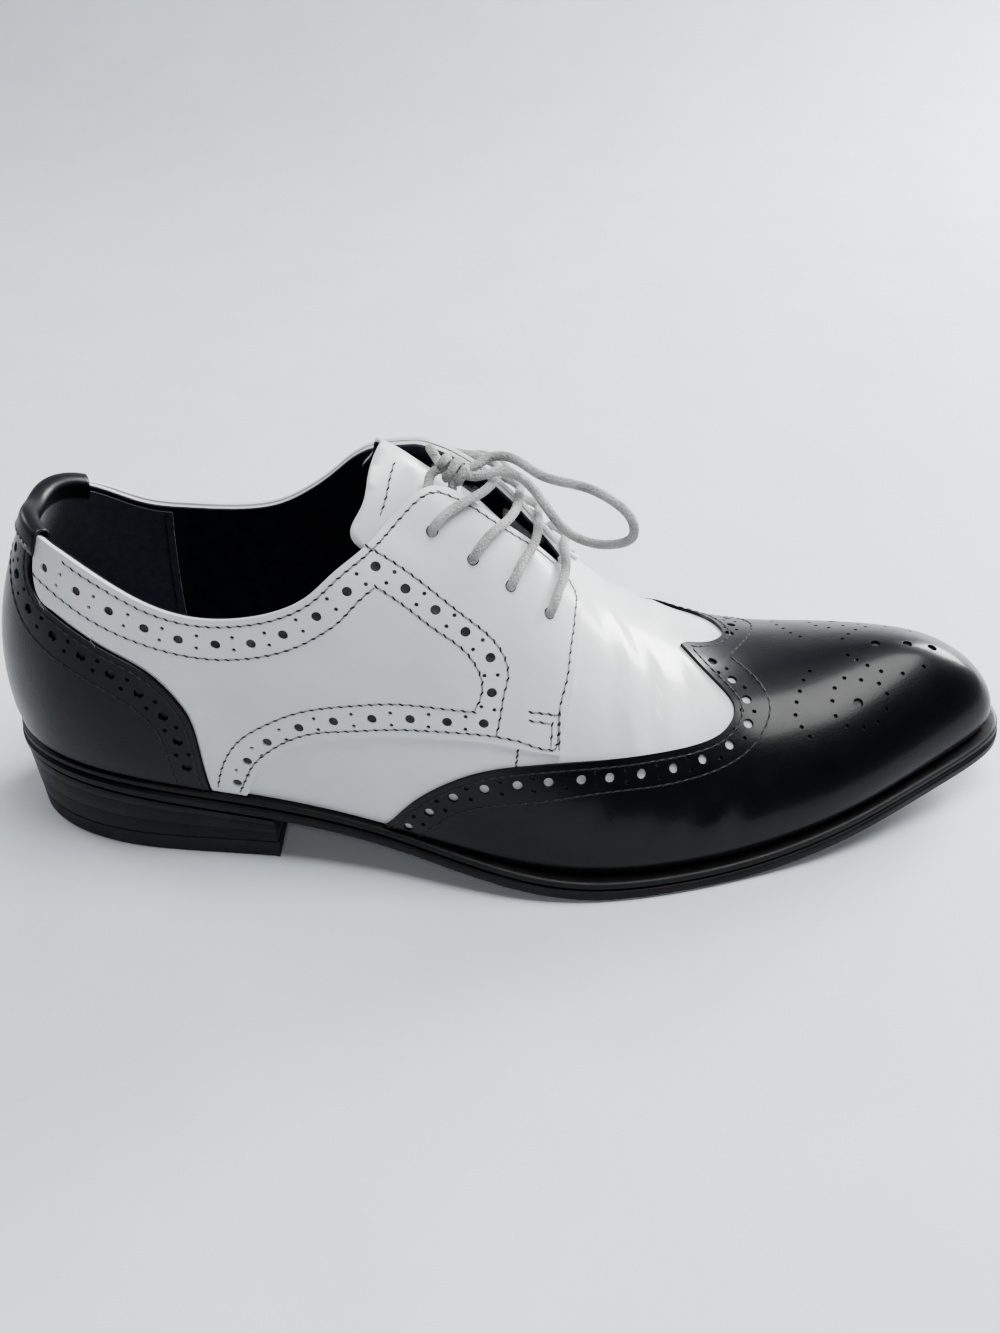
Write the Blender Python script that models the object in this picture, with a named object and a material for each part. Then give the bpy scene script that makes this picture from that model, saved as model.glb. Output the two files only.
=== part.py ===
"""A right-foot spectator shoe: a two-tone derby with wingtip, heel counter, open lacing and a stacked heel.

Metres. +X runs to the toe, +Y to the inner side of the foot and +Z up. The shoe stands on Z = 0, and the
origin is the middle of its footprint box, the free lace left out.

Every leather piece is cut from one form, the last. A place on it is an angle round the feather line, 0 at
the heel and half a turn at the toe, with the outer side first, and a rise from the feather line, 0, to the
crest over the instep and toes, 1. A station is the share of the last's length that an angle reaches.
"""

import math

import bpy
import numpy as np
from mathutils import Vector
from mathutils.geometry import delaunay_2d_cdt

# Driving dimensions of the last
LAST_LENGTH = 0.2978
BALL_WIDTH = 0.100
SEAT_HEIGHT = 0.0313
INSTEP_HEIGHT = 0.1215
CREST_START = 0.13
CREST_END = 0.86

# Leather
WALL = 0.0016
OVERLAY = 0.00105
COUNTER_PROUD = 0.0004
CLEARANCE = 0.0003
EYELET_RADIUS = 0.0022
TONGUE_THICKNESS = 0.0018
BINDING_THICKNESS = 0.0009
BINDING_DEPTH = 0.0050

# Bottom
SOLE_THICKNESS = 0.0070
WELT_THICKNESS = 0.0024
WELT_REACH_FOREPART = 0.0042
WELT_REACH_HEEL = 0.0013
WELT_INNER_REACH = 0.0050
WELT_GROOVE = 0.0006
INSOLE_THICKNESS = 0.0025
HEEL_BREAST = 0.0815
HEEL_BREAST_LEAN = 0.0020
HEEL_CAP_THICKNESS = 0.0062
HEEL_TAPER = 0.0012

# Lace
LACE_RADIUS = 0.00135
LACE_ROUNDNESS = 2

# How finely the form is drawn: columns round the feather line, and rows from it to the crest
COLUMNS = 76
ROWS = 9
# A slight slant of the rows, so that every sheet splits its squares along the same diagonal
LEAN = 0.08

# The last's bottom seen from below, in shares of its length and of the ball width
OUTLINE = (
    # station, outer, inner
    (0.000, 0.000, 0.000),
    (0.030, 0.186, 0.192),
    (0.120, 0.320, 0.303),
    (0.250, 0.372, 0.302),
    (0.400, 0.453, 0.296),
    (0.530, 0.540, 0.356),
    (0.640, 0.528, 0.476),
    (0.740, 0.455, 0.484),
    (0.830, 0.361, 0.426),
    (0.910, 0.237, 0.328),
    (0.970, 0.131, 0.204),
    (1.000, 0.000, 0.000),
)

# Height of the feather line over the floor, in shares of the seat's
FEATHER = (
    # station, height
    (0.00, 1.000),
    (0.10, 0.946),
    (0.20, 0.821),
    (0.30, 0.693),
    (0.40, 0.530),
    (0.50, 0.345),
    (0.58, 0.236),
    (0.66, 0.211),
    (0.74, 0.233),
    (0.82, 0.348),
    (0.90, 0.505),
    (1.00, 0.703),
)

# Crest over instep and toes, in shares of the last's length, the instep's height and the ball width
CREST = (
    # station, height
    (0.00, 1.235),
    (0.20, 1.202),
    (0.34, 1.053),
    (0.40, 1.000),
    (0.45, 0.959),
    (0.50, 0.872),
    (0.55, 0.720),
    (0.60, 0.572),
    (0.65, 0.471),
    (0.70, 0.408),
    (0.76, 0.375),
    (0.82, 0.381),
    (0.90, 0.400),
    (1.00, 0.416),
)
CREST_LEAN = (
    # station, to the inner side
    (0.00, 0.005),
    (0.30, 0.033),
    (0.50, 0.029),
    (0.70, -0.032),
    (0.85, 0.004),
    (1.00, 0.028),
)

# Sections of the wall: how square they are across and upwards, and how far they swell over the feather line
SECTIONS = (
    # station, across, upwards, swell as a share of the ball width
    (0.00, 0.50, 2.50, 0.018),
    (0.12, 1.90, 1.85, 0.032),
    (0.25, 2.50, 1.83, 0.012),
    (0.40, 2.20, 1.60, 0.020),
    (0.52, 2.00, 1.45, 0.019),
    (0.64, 2.25, 1.95, 0.029),
    (0.75, 2.40, 1.90, 0.029),
    (0.87, 2.30, 1.90, 0.035),
    (1.00, 2.45, 1.95, 0.020),
)

# Collar from the heel to the top of the facings
COLLAR = (
    # station, outer rise, inner rise
    (0.000, 0.346, 0.346),
    (0.020, 0.372, 0.362),
    (0.060, 0.389, 0.374),
    (0.095, 0.395, 0.364),
    (0.136, 0.383, 0.350),
    (0.177, 0.361, 0.354),
    (0.223, 0.353, 0.368),
    (0.270, 0.380, 0.409),
    (0.302, 0.421, 0.475),
    (0.324, 0.466, 0.540),
    (0.345, 0.529, 0.625),
    (0.376, 0.618, 0.735),
    (0.407, 0.732, 0.810),
    (0.421, 0.780, 0.845),
)

# Edge of the facings from their top corner to the vamp
THROAT = (
    # station, outer rise, inner rise
    (0.434, 0.811, 0.860),
    (0.447, 0.827, 0.866),
    (0.481, 0.834, 0.868),
    (0.517, 0.846, 0.876),
    (0.557, 0.894, 0.905),
    (0.580, 0.919, 0.925),
)
THROAT_END = 0.597

# Front of the quarters, from the throat down to their front corner
QUARTER_FRONT = (
    # station, outer rise, inner rise
    (0.595, 0.926, 0.932),
    (0.604, 0.908, 0.915),
    (0.607, 0.860, 0.865),
    (0.602, 0.807, 0.807),
    (0.598, 0.760, 0.760),
    (0.589, 0.666, 0.666),
    (0.582, 0.584, 0.584),
    (0.570, 0.478, 0.478),
    (0.561, 0.382, 0.382),
)

# Lower edge of the quarters, arched over the waist
QUARTER_FOOT = (
    # station, rise
    (0.520, 0.359),
    (0.500, 0.349),
    (0.444, 0.305),
    (0.401, 0.264),
    (0.356, 0.214),
    (0.324, 0.179),
    (0.297, 0.140),
    (0.281, 0.110),
    (0.266, 0.073),
    (0.256, 0.031),
    (0.249, 0.000),
)

# Front edge of the heel counter, from the feather line to the collar
COUNTER_EDGE = (
    # station, rise
    (0.213, 0.000),
    (0.212, 0.053),
    (0.211, 0.106),
    (0.207, 0.159),
    (0.194, 0.202),
    (0.178, 0.232),
    (0.139, 0.263),
    (0.112, 0.275),
    (0.080, 0.283),
    (0.057, 0.297),
    (0.049, 0.323),
    (0.047, 0.360),
    (0.050, 0.378),
)
# How far the quarters stop short of the counter, in station and rise
COUNTER_SEAM = (0.0030, 0.0070)

# Upper edge of the wingtip, from the feather line to the peak, on either side
WING_OUTER = (
    # station, rise
    (0.385, 0.000),
    (0.414, 0.118),
    (0.451, 0.214),
    (0.475, 0.259),
    (0.499, 0.293),
    (0.562, 0.362),
    (0.621, 0.427),
    (0.662, 0.480),
    (0.711, 0.549),
    (0.735, 0.593),
    (0.755, 0.652),
    (0.766, 0.703),
    (0.771, 0.760),
    (0.768, 0.836),
    (0.762, 0.917),
)
WING_INNER = (
    # station, rise
    (0.385, 0.000),
    (0.414, 0.118),
    (0.451, 0.214),
    (0.499, 0.293),
    (0.562, 0.362),
    (0.621, 0.440),
    (0.680, 0.540),
    (0.720, 0.620),
    (0.749, 0.691),
    (0.779, 0.802),
    (0.791, 0.877),
    (0.786, 0.940),
)
WING_PEAK = 0.757

# Eyelets of the outer facing from the top one down; the inner facing's lie a little nearer the crest
EYELETS = (
    # station, rise
    (0.440, 0.703),
    (0.482, 0.688),
    (0.521, 0.691),
    (0.562, 0.710),
)
INNER_EYELET_RISE = 0.030

# Tongue: its side edge from top to bottom, and how deep it lies under the quarters
TONGUE_EDGE = (
    # station, rise
    (0.372, 0.930),
    (0.372, 0.800),
    (0.368, 0.700),
    (0.362, 0.620),
    (0.380, 0.600),
    (0.450, 0.640),
    (0.540, 0.700),
    (0.610, 0.780),
)
TONGUE_TOP = 0.371
TONGUE_FOOT = 0.625
TONGUE_DEPTH = (
    # station, depth in metres
    (0.36, 0.0034),
    (0.39, 0.0045),
    (0.43, 0.0072),
    (0.50, 0.0078),
    (0.56, 0.0070),
    (0.60, 0.0044),
    (0.64, 0.0034),
)

# Binding over the collar at the heel, from the outer side round to the inner side
BINDING_STATIONS = (0.056, 0.070)

# A bar of the lace over the gap, from an outer eyelet to the inner one of its pair
BAR = (
    # across, share of its forward bow, lift in metres
    (-0.300, 0.00, 0.0002),
    (-0.293, 0.01, 0.0013),
    (-0.270, 0.10, 0.0020),
    (-0.225, 0.32, 0.0020),
    (-0.180, 0.56, 0.0021),
    (-0.120, 0.80, 0.0022),
    (-0.050, 0.95, 0.0022),
    (0.020, 1.00, 0.0021),
    (0.080, 0.96, 0.0022),
    (0.130, 0.82, 0.0022),
    (0.180, 0.58, 0.0021),
    (0.225, 0.28, 0.0020),
    (0.250, 0.08, 0.0019),
    (0.264, 0.01, 0.0013),
    (0.270, 0.00, 0.0002),
)
# How far each bar bows to the toe, from the top one down, in station
BAR_BOWS = (0.066, 0.050, 0.034, 0.026)
# The lace between two eyelets of one side, under the facing
LINK = (
    # share of the way, lift in metres
    (0.00, -0.0036),
    (0.06, -0.0045),
    (0.20, -0.0050),
    (0.50, -0.0052),
    (0.80, -0.0050),
    (0.94, -0.0045),
    (1.00, -0.0036),
)
# Its long end, from the lowest outer eyelet up under the facing to the knot
LONG_END = (
    # station, across, lift in metres
    (0.562, -0.290, -0.0036),
    (0.559, -0.280, -0.0046),
    (0.550, -0.250, -0.0051),
    (0.530, -0.215, -0.0052),
    (0.505, -0.185, -0.0052),
    (0.480, -0.150, -0.0052),
    (0.468, -0.125, -0.0051),
)
# Its short end, from the top outer eyelet to the knot
SHORT_END = (
    # station, across, lift in metres
    (0.440, -0.300, -0.0036),
    (0.438, -0.290, -0.0046),
    (0.435, -0.250, -0.0050),
    (0.436, -0.200, -0.0050),
    (0.438, -0.150, -0.0047),
    (0.439, -0.120, -0.0040),
)

# The knot: turns of lace round its two strands, and the tip that stands out of it, in metres from the heel
KNOT_FROM = (0.1350, -0.0026, 0.1122)
KNOT_TO = (0.1414, -0.0036, 0.1102)
KNOT_RADIUS = 0.0026
KNOT_TURNS = 2.1
TIP = (
    # x, y, z
    (0.1340, -0.0004, 0.1126),
    (0.1325, 0.0018, 0.1142),
    (0.1310, 0.0038, 0.1156),
)

# The bow's outer loop, from the knot out over the vamp and back
OUTER_LOOP = (
    # x, y, z
    (0.1440, -0.0020, 0.1118),
    (0.1482, 0.0002, 0.1132),
    (0.1535, -0.0010, 0.1138),
    (0.1622, -0.0070, 0.1112),
    (0.1738, -0.0125, 0.1103),
    (0.1820, -0.0165, 0.1075),
    (0.1866, -0.0182, 0.1026),
    (0.1868, -0.0182, 0.0980),
    (0.1832, -0.0162, 0.0946),
    (0.1762, -0.0120, 0.0924),
    (0.1696, -0.0080, 0.0936),
    (0.1643, -0.0030, 0.0978),
    (0.1597, 0.0004, 0.1033),
    (0.1550, -0.0026, 0.1092),
    (0.1500, -0.0050, 0.1116),
    (0.1447, -0.0060, 0.1108),
)
# The bow's end on the inner side, from under the loop over the facing and down the quarter
INNER_END = (
    # x, y, z
    (0.1560, 0.0040, 0.1050),
    (0.1535, 0.0085, 0.1043),
    (0.1505, 0.0122, 0.1052),
    (0.1468, 0.0150, 0.1062),
    (0.1425, 0.0184, 0.1045),
    (0.1385, 0.0222, 0.0995),
    (0.1355, 0.0262, 0.0920),
    (0.1335, 0.0300, 0.0830),
    (0.1325, 0.0325, 0.0740),
    (0.1318, 0.0345, 0.0650),
)
CORD_STEP = 2.3


def spline(places, values):
    """A natural cubic curve through values at rising places, as a function of arrays."""
    places = np.asarray(places, float)
    values = np.asarray(values, float)
    count = len(places)
    steps = np.diff(places)
    system = np.eye(count)
    target = np.zeros(count)
    for i in range(1, count - 1):
        system[i, i - 1 : i + 2] = steps[i - 1], 2 * (steps[i - 1] + steps[i]), steps[i]
        rise_after = (values[i + 1] - values[i]) / steps[i]
        rise_before = (values[i] - values[i - 1]) / steps[i - 1]
        target[i] = 6 * (rise_after - rise_before)
    bends = np.linalg.solve(system, target)

    def curve(x):
        x = np.clip(x, places[0], places[-1])
        i = np.clip(np.searchsorted(places, x) - 1, 0, count - 2)
        left = (places[i + 1] - x) / steps[i]
        right = (x - places[i]) / steps[i]
        bent = (left**3 - left) * bends[i] + (right**3 - right) * bends[i + 1]
        return left * values[i] + right * values[i + 1] + bent * steps[i] ** 2 / 6

    return curve


def column(table, index):
    return [row[index] for row in table]


def angle_of(station):
    """Angle on the outer side that reaches a station."""
    return np.arccos(1 - 2 * np.asarray(station, float))


def station_of(angle):
    return (1 - np.cos(angle)) / 2


def outline_curve():
    """Sideways place of the feather line for any angle, drawn through the outline on both sides."""
    angles = angle_of(column(OUTLINE, 0))
    around = np.concatenate([angles, (math.tau - angles)[::-1][1:]])
    outer = -BALL_WIDTH * np.array(column(OUTLINE, 1))
    inner = BALL_WIDTH * np.array(column(OUTLINE, 2))
    across = np.concatenate([outer, inner[::-1][1:]])
    turns = [around[:-1] - math.tau, around, around[1:] + math.tau]
    return spline(np.concatenate(turns), np.concatenate([across[:-1], across, across[1:]]))


OUTLINE_Y = outline_curve()
FEATHER_Z = spline(column(FEATHER, 0), SEAT_HEIGHT * np.array(column(FEATHER, 1)))
CREST_Z = spline(column(CREST, 0), INSTEP_HEIGHT * np.array(column(CREST, 1)))
CREST_Y = spline(column(CREST_LEAN, 0), BALL_WIDTH * np.array(column(CREST_LEAN, 1)))
ACROSS = spline(column(SECTIONS, 0), column(SECTIONS, 1))
UPWARDS = spline(column(SECTIONS, 0), column(SECTIONS, 2))
SWELL = spline(column(SECTIONS, 0), BALL_WIDTH * np.array(column(SECTIONS, 3)))
DEPTH = spline(column(TONGUE_DEPTH, 0), column(TONGUE_DEPTH, 1))


def form(angle, rise):
    """Points on the last."""
    angle = np.asarray(angle, float) % math.tau
    turn = np.clip(np.asarray(rise, float), 0, 1) * math.pi / 2
    station = station_of(angle)
    middle_x = LAST_LENGTH * (CREST_START + (CREST_END - CREST_START) * station)
    middle_y = CREST_Y(middle_x / LAST_LENGTH)
    away_x = LAST_LENGTH * station - middle_x
    away_y = OUTLINE_Y(angle) - middle_y
    reach = np.hypot(away_x, away_y)
    climb = np.sin(turn) ** (2 / UPWARDS(station))
    out = reach * np.maximum(np.cos(turn), 0) ** (2 / ACROSS(station))
    out = out + SWELL(station) * np.sin(math.pi * climb**0.58)
    out = np.where(turn > math.pi / 2 - 1e-9, 0, out)
    x = middle_x + away_x / reach * out
    y = middle_y + away_y / reach * out
    foot = FEATHER_Z(station)
    z = foot + (CREST_Z(x / LAST_LENGTH) - foot) * climb
    return np.stack([x, y, z], axis=-1)


def facing_out(angle, rise):
    """Unit normals of the last, level at the feather line and square to the crest on top."""
    step = 1e-4
    inside = np.clip(rise, 0.06, 0.985)
    along = form(angle + step, inside) - form(angle - step, inside)
    upward = form(angle, inside + step) - form(angle, inside - step)
    normal = np.cross(along, upward)
    normal[..., 2] *= np.clip(np.asarray(rise, float) / 0.10, 0, 1)
    crest = LAST_LENGTH * (CREST_START + (CREST_END - CREST_START) * station_of(angle))
    slope = (CREST_Z((crest + 1e-4) / LAST_LENGTH) - CREST_Z((crest - 1e-4) / LAST_LENGTH)) / 2e-4
    upright = np.stack([-slope, np.zeros_like(slope), np.ones_like(slope)], axis=-1)
    normal = np.where((np.asarray(rise) > 0.985)[..., None], upright, normal)
    return normal / np.linalg.norm(normal, axis=-1, keepdims=True)


def on_last(angle, rise, lift):
    """Points lifted off the last along its normals."""
    angle = np.asarray(angle, float)
    rise = np.asarray(rise, float)
    return form(angle, rise) + facing_out(angle, rise) * np.asarray(lift, float)[..., None]


def feather_normal(angle):
    """Level unit normals that point out of the feather line."""
    step = 1e-4
    ahead_x = LAST_LENGTH * (station_of(angle + step) - station_of(angle - step))
    ahead_y = OUTLINE_Y((angle + step) % math.tau) - OUTLINE_Y((angle - step) % math.tau)
    away = np.stack([ahead_y, -ahead_x], axis=-1)
    return away / np.linalg.norm(away, axis=-1, keepdims=True)


def feather_ring(angles, out, height):
    """Points a reach outside the feather line at given heights."""
    away = feather_normal(angles)
    x = LAST_LENGTH * station_of(angles) + away[:, 0] * out
    y = OUTLINE_Y(angles % math.tau) + away[:, 1] * out
    return np.stack([x, y, height * np.ones_like(x)], axis=-1)


def material(name, color, roughness, coat=0.0):
    made = bpy.data.materials.new(name)
    made.use_nodes = True
    shader = made.node_tree.nodes["Principled BSDF"]
    shader.inputs["Base Color"].default_value = (*color, 1)
    shader.inputs["Roughness"].default_value = roughness
    shader.inputs["Coat Weight"].default_value = coat
    return made


def add_object(name, points, faces, made_of):
    mesh = bpy.data.meshes.new(name)
    mesh.from_pydata([tuple(p) for p in points], [], faces)
    mesh.materials.append(made_of)
    mesh.shade_smooth()
    mesh.set_sharp_from_angle(angle=math.radians(40))
    piece = bpy.data.objects.new(name, mesh)
    bpy.context.scene.collection.objects.link(piece)
    return piece


def edge_points(loop):
    """Corners of a loop and the points between them, on the drawing grid where an edge runs along it."""
    column_step = math.tau / COLUMNS
    row_step = 1 / ROWS
    points = []
    for start, end in zip(loop, loop[1:] + loop[:1]):
        points.append(start)
        run = end[0] - start[0]
        climb = end[1] - start[1]
        if abs(climb) < 1e-9:
            crossed = [k * column_step for k in range(-COLUMNS, 2 * COLUMNS)]
            shares = sorted((c - start[0]) / run for c in crossed)
        elif abs(run) < 1e-9:
            shares = sorted((k * row_step - start[1]) / climb for k in range(ROWS + 1))
        else:
            pieces = max(1, round(math.hypot(run / column_step, climb / row_step)))
            shares = [k / pieces for k in range(1, pieces)]
        near = 0.15 / math.hypot(run / column_step, climb / row_step)
        inside = [s for s in shares if near < s < 1 - near]
        points += [(start[0] + run * s, start[1] + climb * s) for s in inside]
    return points


def inside_loops(points, loops):
    """Whether each point is inside an odd number of the loops."""
    found = np.zeros(len(points), bool)
    x, y = points[:, 0], points[:, 1]
    for loop in loops:
        corners = np.array(loop)
        for (ax, ay), (bx, by) in zip(corners, np.roll(corners, -1, axis=0)):
            if ay == by:
                continue
            crosses = ((ay > y) != (by > y)) & (x < (bx - ax) * (y - ay) / (by - ay) + ax)
            found ^= crosses
    return found


def distance_to(points, loops):
    """Distance from each point to the nearest loop edge."""
    nearest = np.full(len(points), np.inf)
    for loop in loops:
        corners = np.array(loop)
        for start, end in zip(corners, np.roll(corners, -1, axis=0)):
            edge = end - start
            share = np.clip((points - start) @ edge / max(edge @ edge, 1e-12), 0, 1)
            gap = np.linalg.norm(points - start - share[:, None] * edge, axis=1)
            nearest = np.minimum(nearest, gap)
    return nearest


def flat_cut(outer_loops, holes):
    """Triangles that fill the loops but not the holes, with corners as (angle, rise)."""
    scale = np.array([COLUMNS / math.tau, ROWS])
    loops = [np.array(edge_points(loop)) * scale for loop in outer_loops]
    loops += [np.array(hole) * scale for hole in holes]
    low = np.floor(min(loop[:, 0].min() for loop in loops))
    high = np.ceil(max(loop[:, 0].max() for loop in loops))
    grid = np.array([(c, r) for c in np.arange(low, high + 1) for r in range(ROWS + 1)], float)
    grid = grid[inside_loops(grid, loops)]
    grid = grid[distance_to(grid, loops) > 0.3]
    points = [tuple(p) for loop in loops for p in loop]
    edges = []
    first = 0
    for loop in loops:
        count = len(loop)
        edges += [(first + k, first + (k + 1) % count) for k in range(count)]
        first += count
    points += [tuple(p) for p in grid]
    leaning = [Vector((x + LEAN * y, y)) for x, y in points]
    made = delaunay_2d_cdt(leaning, edges, [], 0, 1e-6)
    corners = np.array([points[sources[0]] for sources in made[3]])
    faces = np.array([tuple(f) for f in made[2]])
    first, second, third = np.swapaxes(corners[faces], 0, 1)
    across, along = second - first, third - first
    wide = across[:, 0] * along[:, 1] - across[:, 1] * along[:, 0] > 1e-4
    faces = faces[wide & inside_loops((first + second + third) / 3, loops)]
    return corners / scale, faces


def leather(name, loops, outer_lift, inner_lift, made_of, holes=()):
    """A closed sheet over the last between two lifts, cut to loops of (angle, rise) corners."""
    corners, faces = flat_cut(loops, holes)
    angle, rise = corners.T
    outside = on_last(angle, rise, outer_lift(angle) * np.ones_like(angle))
    within = on_last(angle, rise, inner_lift(angle) * np.ones_like(angle))
    turned = angle % math.tau
    turned = np.where(rise > 1 - 1e-9, np.minimum(turned, math.tau - turned), turned)
    turned = np.where(turned > math.tau - 1e-9, 0, turned)
    keys = np.round(np.stack([turned, rise], axis=-1), 7)
    _, first, merged = np.unique(keys, axis=0, return_index=True, return_inverse=True)
    merged = merged.reshape(-1)
    faces = merged[faces]
    whole = (faces[:, 0] != faces[:, 1]) & (faces[:, 1] != faces[:, 2]) & (faces[:, 0] != faces[:, 2])
    faces = faces[whole]
    count = len(first)
    sides = {(a, b) for f in faces for a, b in zip(f, np.roll(f, -1))}
    walls = [(b, a, a + count, b + count) for a, b in sides if (b, a) not in sides]
    skins = [tuple(f) for f in faces] + [tuple(f[::-1] + count) for f in faces]
    points = np.concatenate([outside[first], within[first]])
    skins += sorted(tuple(int(v) for v in wall) for wall in walls)
    return add_object(name, points, [tuple(int(v) for v in f) for f in skins], made_of)


def level(lift):
    return lambda angle: lift


def outer_side(table, rise_column=1):
    """Rows of (station, rise) as (angle, rise) on the outer side."""
    return [(float(angle_of(row[0])), row[rise_column]) for row in table]


def inner_side(table, rise_column=1):
    return [(math.tau - float(angle_of(row[0])), row[rise_column]) for row in table]


def eyelet(angle, rise, turns=10):
    """A round hole's points on the last about one place."""
    place = form(angle, rise)
    step = 1e-3
    along = (form(angle + step, rise) - place) / step
    upward = (form(angle, rise + step) - place) / step
    right = along / np.linalg.norm(along)
    up = upward - right * (upward @ right)
    up /= np.linalg.norm(up)
    basis = np.array([[along @ right, upward @ right], [along @ up, upward @ up]])
    ring = []
    for k in range(turns):
        round_about = math.tau * k / turns
        away = EYELET_RADIUS * np.array([math.cos(round_about), math.sin(round_about)])
        shift = np.linalg.solve(basis, away)
        ring.append((angle + shift[0], rise + shift[1]))
    return ring


def eyelet_places(side):
    if side == "outer":
        return outer_side(EYELETS)
    return [(angle, rise + INNER_EYELET_RISE) for angle, rise in inner_side(EYELETS)]


def make_upper(made_of):
    """The lasted shell, open at the collar, down the throat and underneath."""
    edge = outer_side(COLLAR) + outer_side(THROAT)
    back = inner_side(COLLAR, 2) + inner_side(THROAT, 2)
    meeting = float(angle_of(THROAT_END))
    loop = [(0.0, 0.0), (math.tau, 0.0)] + back
    loop += [(math.tau - meeting, 1.0), (meeting, 1.0)] + edge[::-1]
    holes = [eyelet(*place) for side in ("outer", "inner") for place in eyelet_places(side)]
    outer = -OVERLAY - 1.6 * CLEARANCE
    return leather("upper", [loop], level(outer), level(outer - WALL), made_of, holes)


def make_quarter(side, made_of):
    """A quarter with its facing, laid over the shell from counter to vamp."""
    to_side, rises = (outer_side, 1) if side == "outer" else (inner_side, 2)
    rear_station = COUNTER_EDGE[-1][0] + COUNTER_SEAM[0]
    collar_angles = angle_of(column(COLLAR, 0))
    top = [row for row in COLLAR if row[0] > rear_station + 0.008]
    rear = [(station + COUNTER_SEAM[0], rise + COUNTER_SEAM[1]) for station, rise in COUNTER_EDGE[1:]]
    foot = (COUNTER_EDGE[0][0] + COUNTER_SEAM[0], 0.0)
    rear = [foot] + [row for row in rear if row[0] > rear_station - 0.004]
    rear_top = np.interp(angle_of(rear_station), collar_angles, column(COLLAR, rises))
    rear[-1] = (rear_station, float(rear_top))
    loop = to_side(rear) + to_side(top, rises) + to_side(THROAT, rises)
    loop += to_side(QUARTER_FRONT, rises) + to_side(QUARTER_FOOT)
    if side == "outer":
        loop.reverse()
    holes = [eyelet(*place) for place in eyelet_places(side)]
    return leather("quarter_" + side, [loop], level(0.0), level(-OVERLAY), made_of, holes)


def make_wingtip(made_of):
    """The toe cap and its two wings."""
    peak = float(angle_of(WING_PEAK))
    outer = outer_side(WING_OUTER)
    inner = inner_side(WING_INNER)
    loop = [outer[0], inner[0]] + inner[1:]
    loop += [(math.tau - peak, 1.0), (peak, 1.0)] + outer[:0:-1]
    return leather("wingtip", [loop], level(0.0), level(-OVERLAY), made_of)


def signed(table, rise_column, sign):
    """Rows of (station, rise) as (angle, rise), with the inner side's angles below nought."""
    return [(sign * float(angle_of(row[0])), row[rise_column]) for row in table]


def collar_run(first, last):
    """Corners of the collar edge between two signed angles, its ends included."""
    run = signed(COLLAR, 2, -1)[::-1] + signed(COLLAR, 1, 1)[1:]
    angles, rises = zip(*run)
    ends = [(angle, float(np.interp(angle, angles, rises))) for angle in (first, last)]
    return [ends[0]] + [place for place in run if first + 0.01 < place[0] < last - 0.01] + [ends[1]]


def make_counter(made_of):
    """The heel counter, up to the collar at the back."""
    reach = float(angle_of(COUNTER_EDGE[-1][0]))
    outer = signed(COUNTER_EDGE[:-1], 1, 1)
    inner = signed(COUNTER_EDGE[:-1], 1, -1)
    loop = [inner[0]] + outer + collar_run(-reach, reach)[::-1] + inner[:0:-1]
    return leather("counter", [loop], level(COUNTER_PROUD), level(-OVERLAY), made_of)


def make_tongue(made_of):
    """The tongue, deep enough under the facings for the lace to pass."""
    outer = outer_side(TONGUE_EDGE)
    inner = inner_side(TONGUE_EDGE)
    top = float(angle_of(TONGUE_TOP))
    foot = float(angle_of(TONGUE_FOOT))
    loops = [
        [(foot, 1.0), (top, 1.0)] + outer,
        [(math.tau - top, 1.0), (math.tau - foot, 1.0)] + inner[::-1],
    ]

    def upper_face(angle):
        return -DEPTH(station_of(angle))

    def lower_face(angle):
        return -DEPTH(station_of(angle)) - TONGUE_THICKNESS

    return leather("tongue", loops, upper_face, lower_face, made_of)


def ring_angles(limit=math.pi):
    """Angles round the feather line in pairs that mirror each other about the heel."""
    count = 2 * round(COLUMNS * limit / math.tau)
    if limit == math.pi:
        return -math.pi + (np.arange(count) + 0.5) * math.tau / count
    return np.linspace(-limit, limit, count)


def slab(name, rings, made_of):
    """A closed solid through rings of points from top to bottom, capped by strips across."""
    count = len(rings[0])
    points = np.concatenate(rings)
    faces = []
    for r in range(len(rings) - 1):
        for k in range(count):
            upper_a = r * count + k
            upper_b = r * count + (k + 1) % count
            faces.append((upper_b, upper_a, upper_a + count, upper_b + count))
    last = (len(rings) - 1) * count
    for k in range(count // 2 - 1):
        across = (k, k + 1, count - 2 - k, count - 1 - k)
        faces.append(across)
        faces.append(tuple(last + v for v in across[::-1]))
    return add_object(name, points, faces, made_of)


def band(name, rings, made_of):
    """A closed solid round the shoe whose section's corners are rings: outside, below, then inside."""
    count = len(rings[0])
    points = np.concatenate(rings)
    faces = []
    for r in range(len(rings)):
        for k in range(count):
            a = r * count + k
            b = r * count + (k + 1) % count
            c = ((r + 1) % len(rings)) * count + k
            d = ((r + 1) % len(rings)) * count + (k + 1) % count
            faces.append((b, a, c, d))
    return add_object(name, points, faces, made_of)


def welt_reach(angles):
    """How far the bottom stands out of the feather line: wide at the forepart, close at waist and heel."""
    share = np.clip((station_of(angles) - 0.35) / 0.25, 0, 1)
    wide = share * share * (3 - 2 * share)
    return WELT_REACH_HEEL + (WELT_REACH_FOREPART - WELT_REACH_HEEL) * wide


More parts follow.
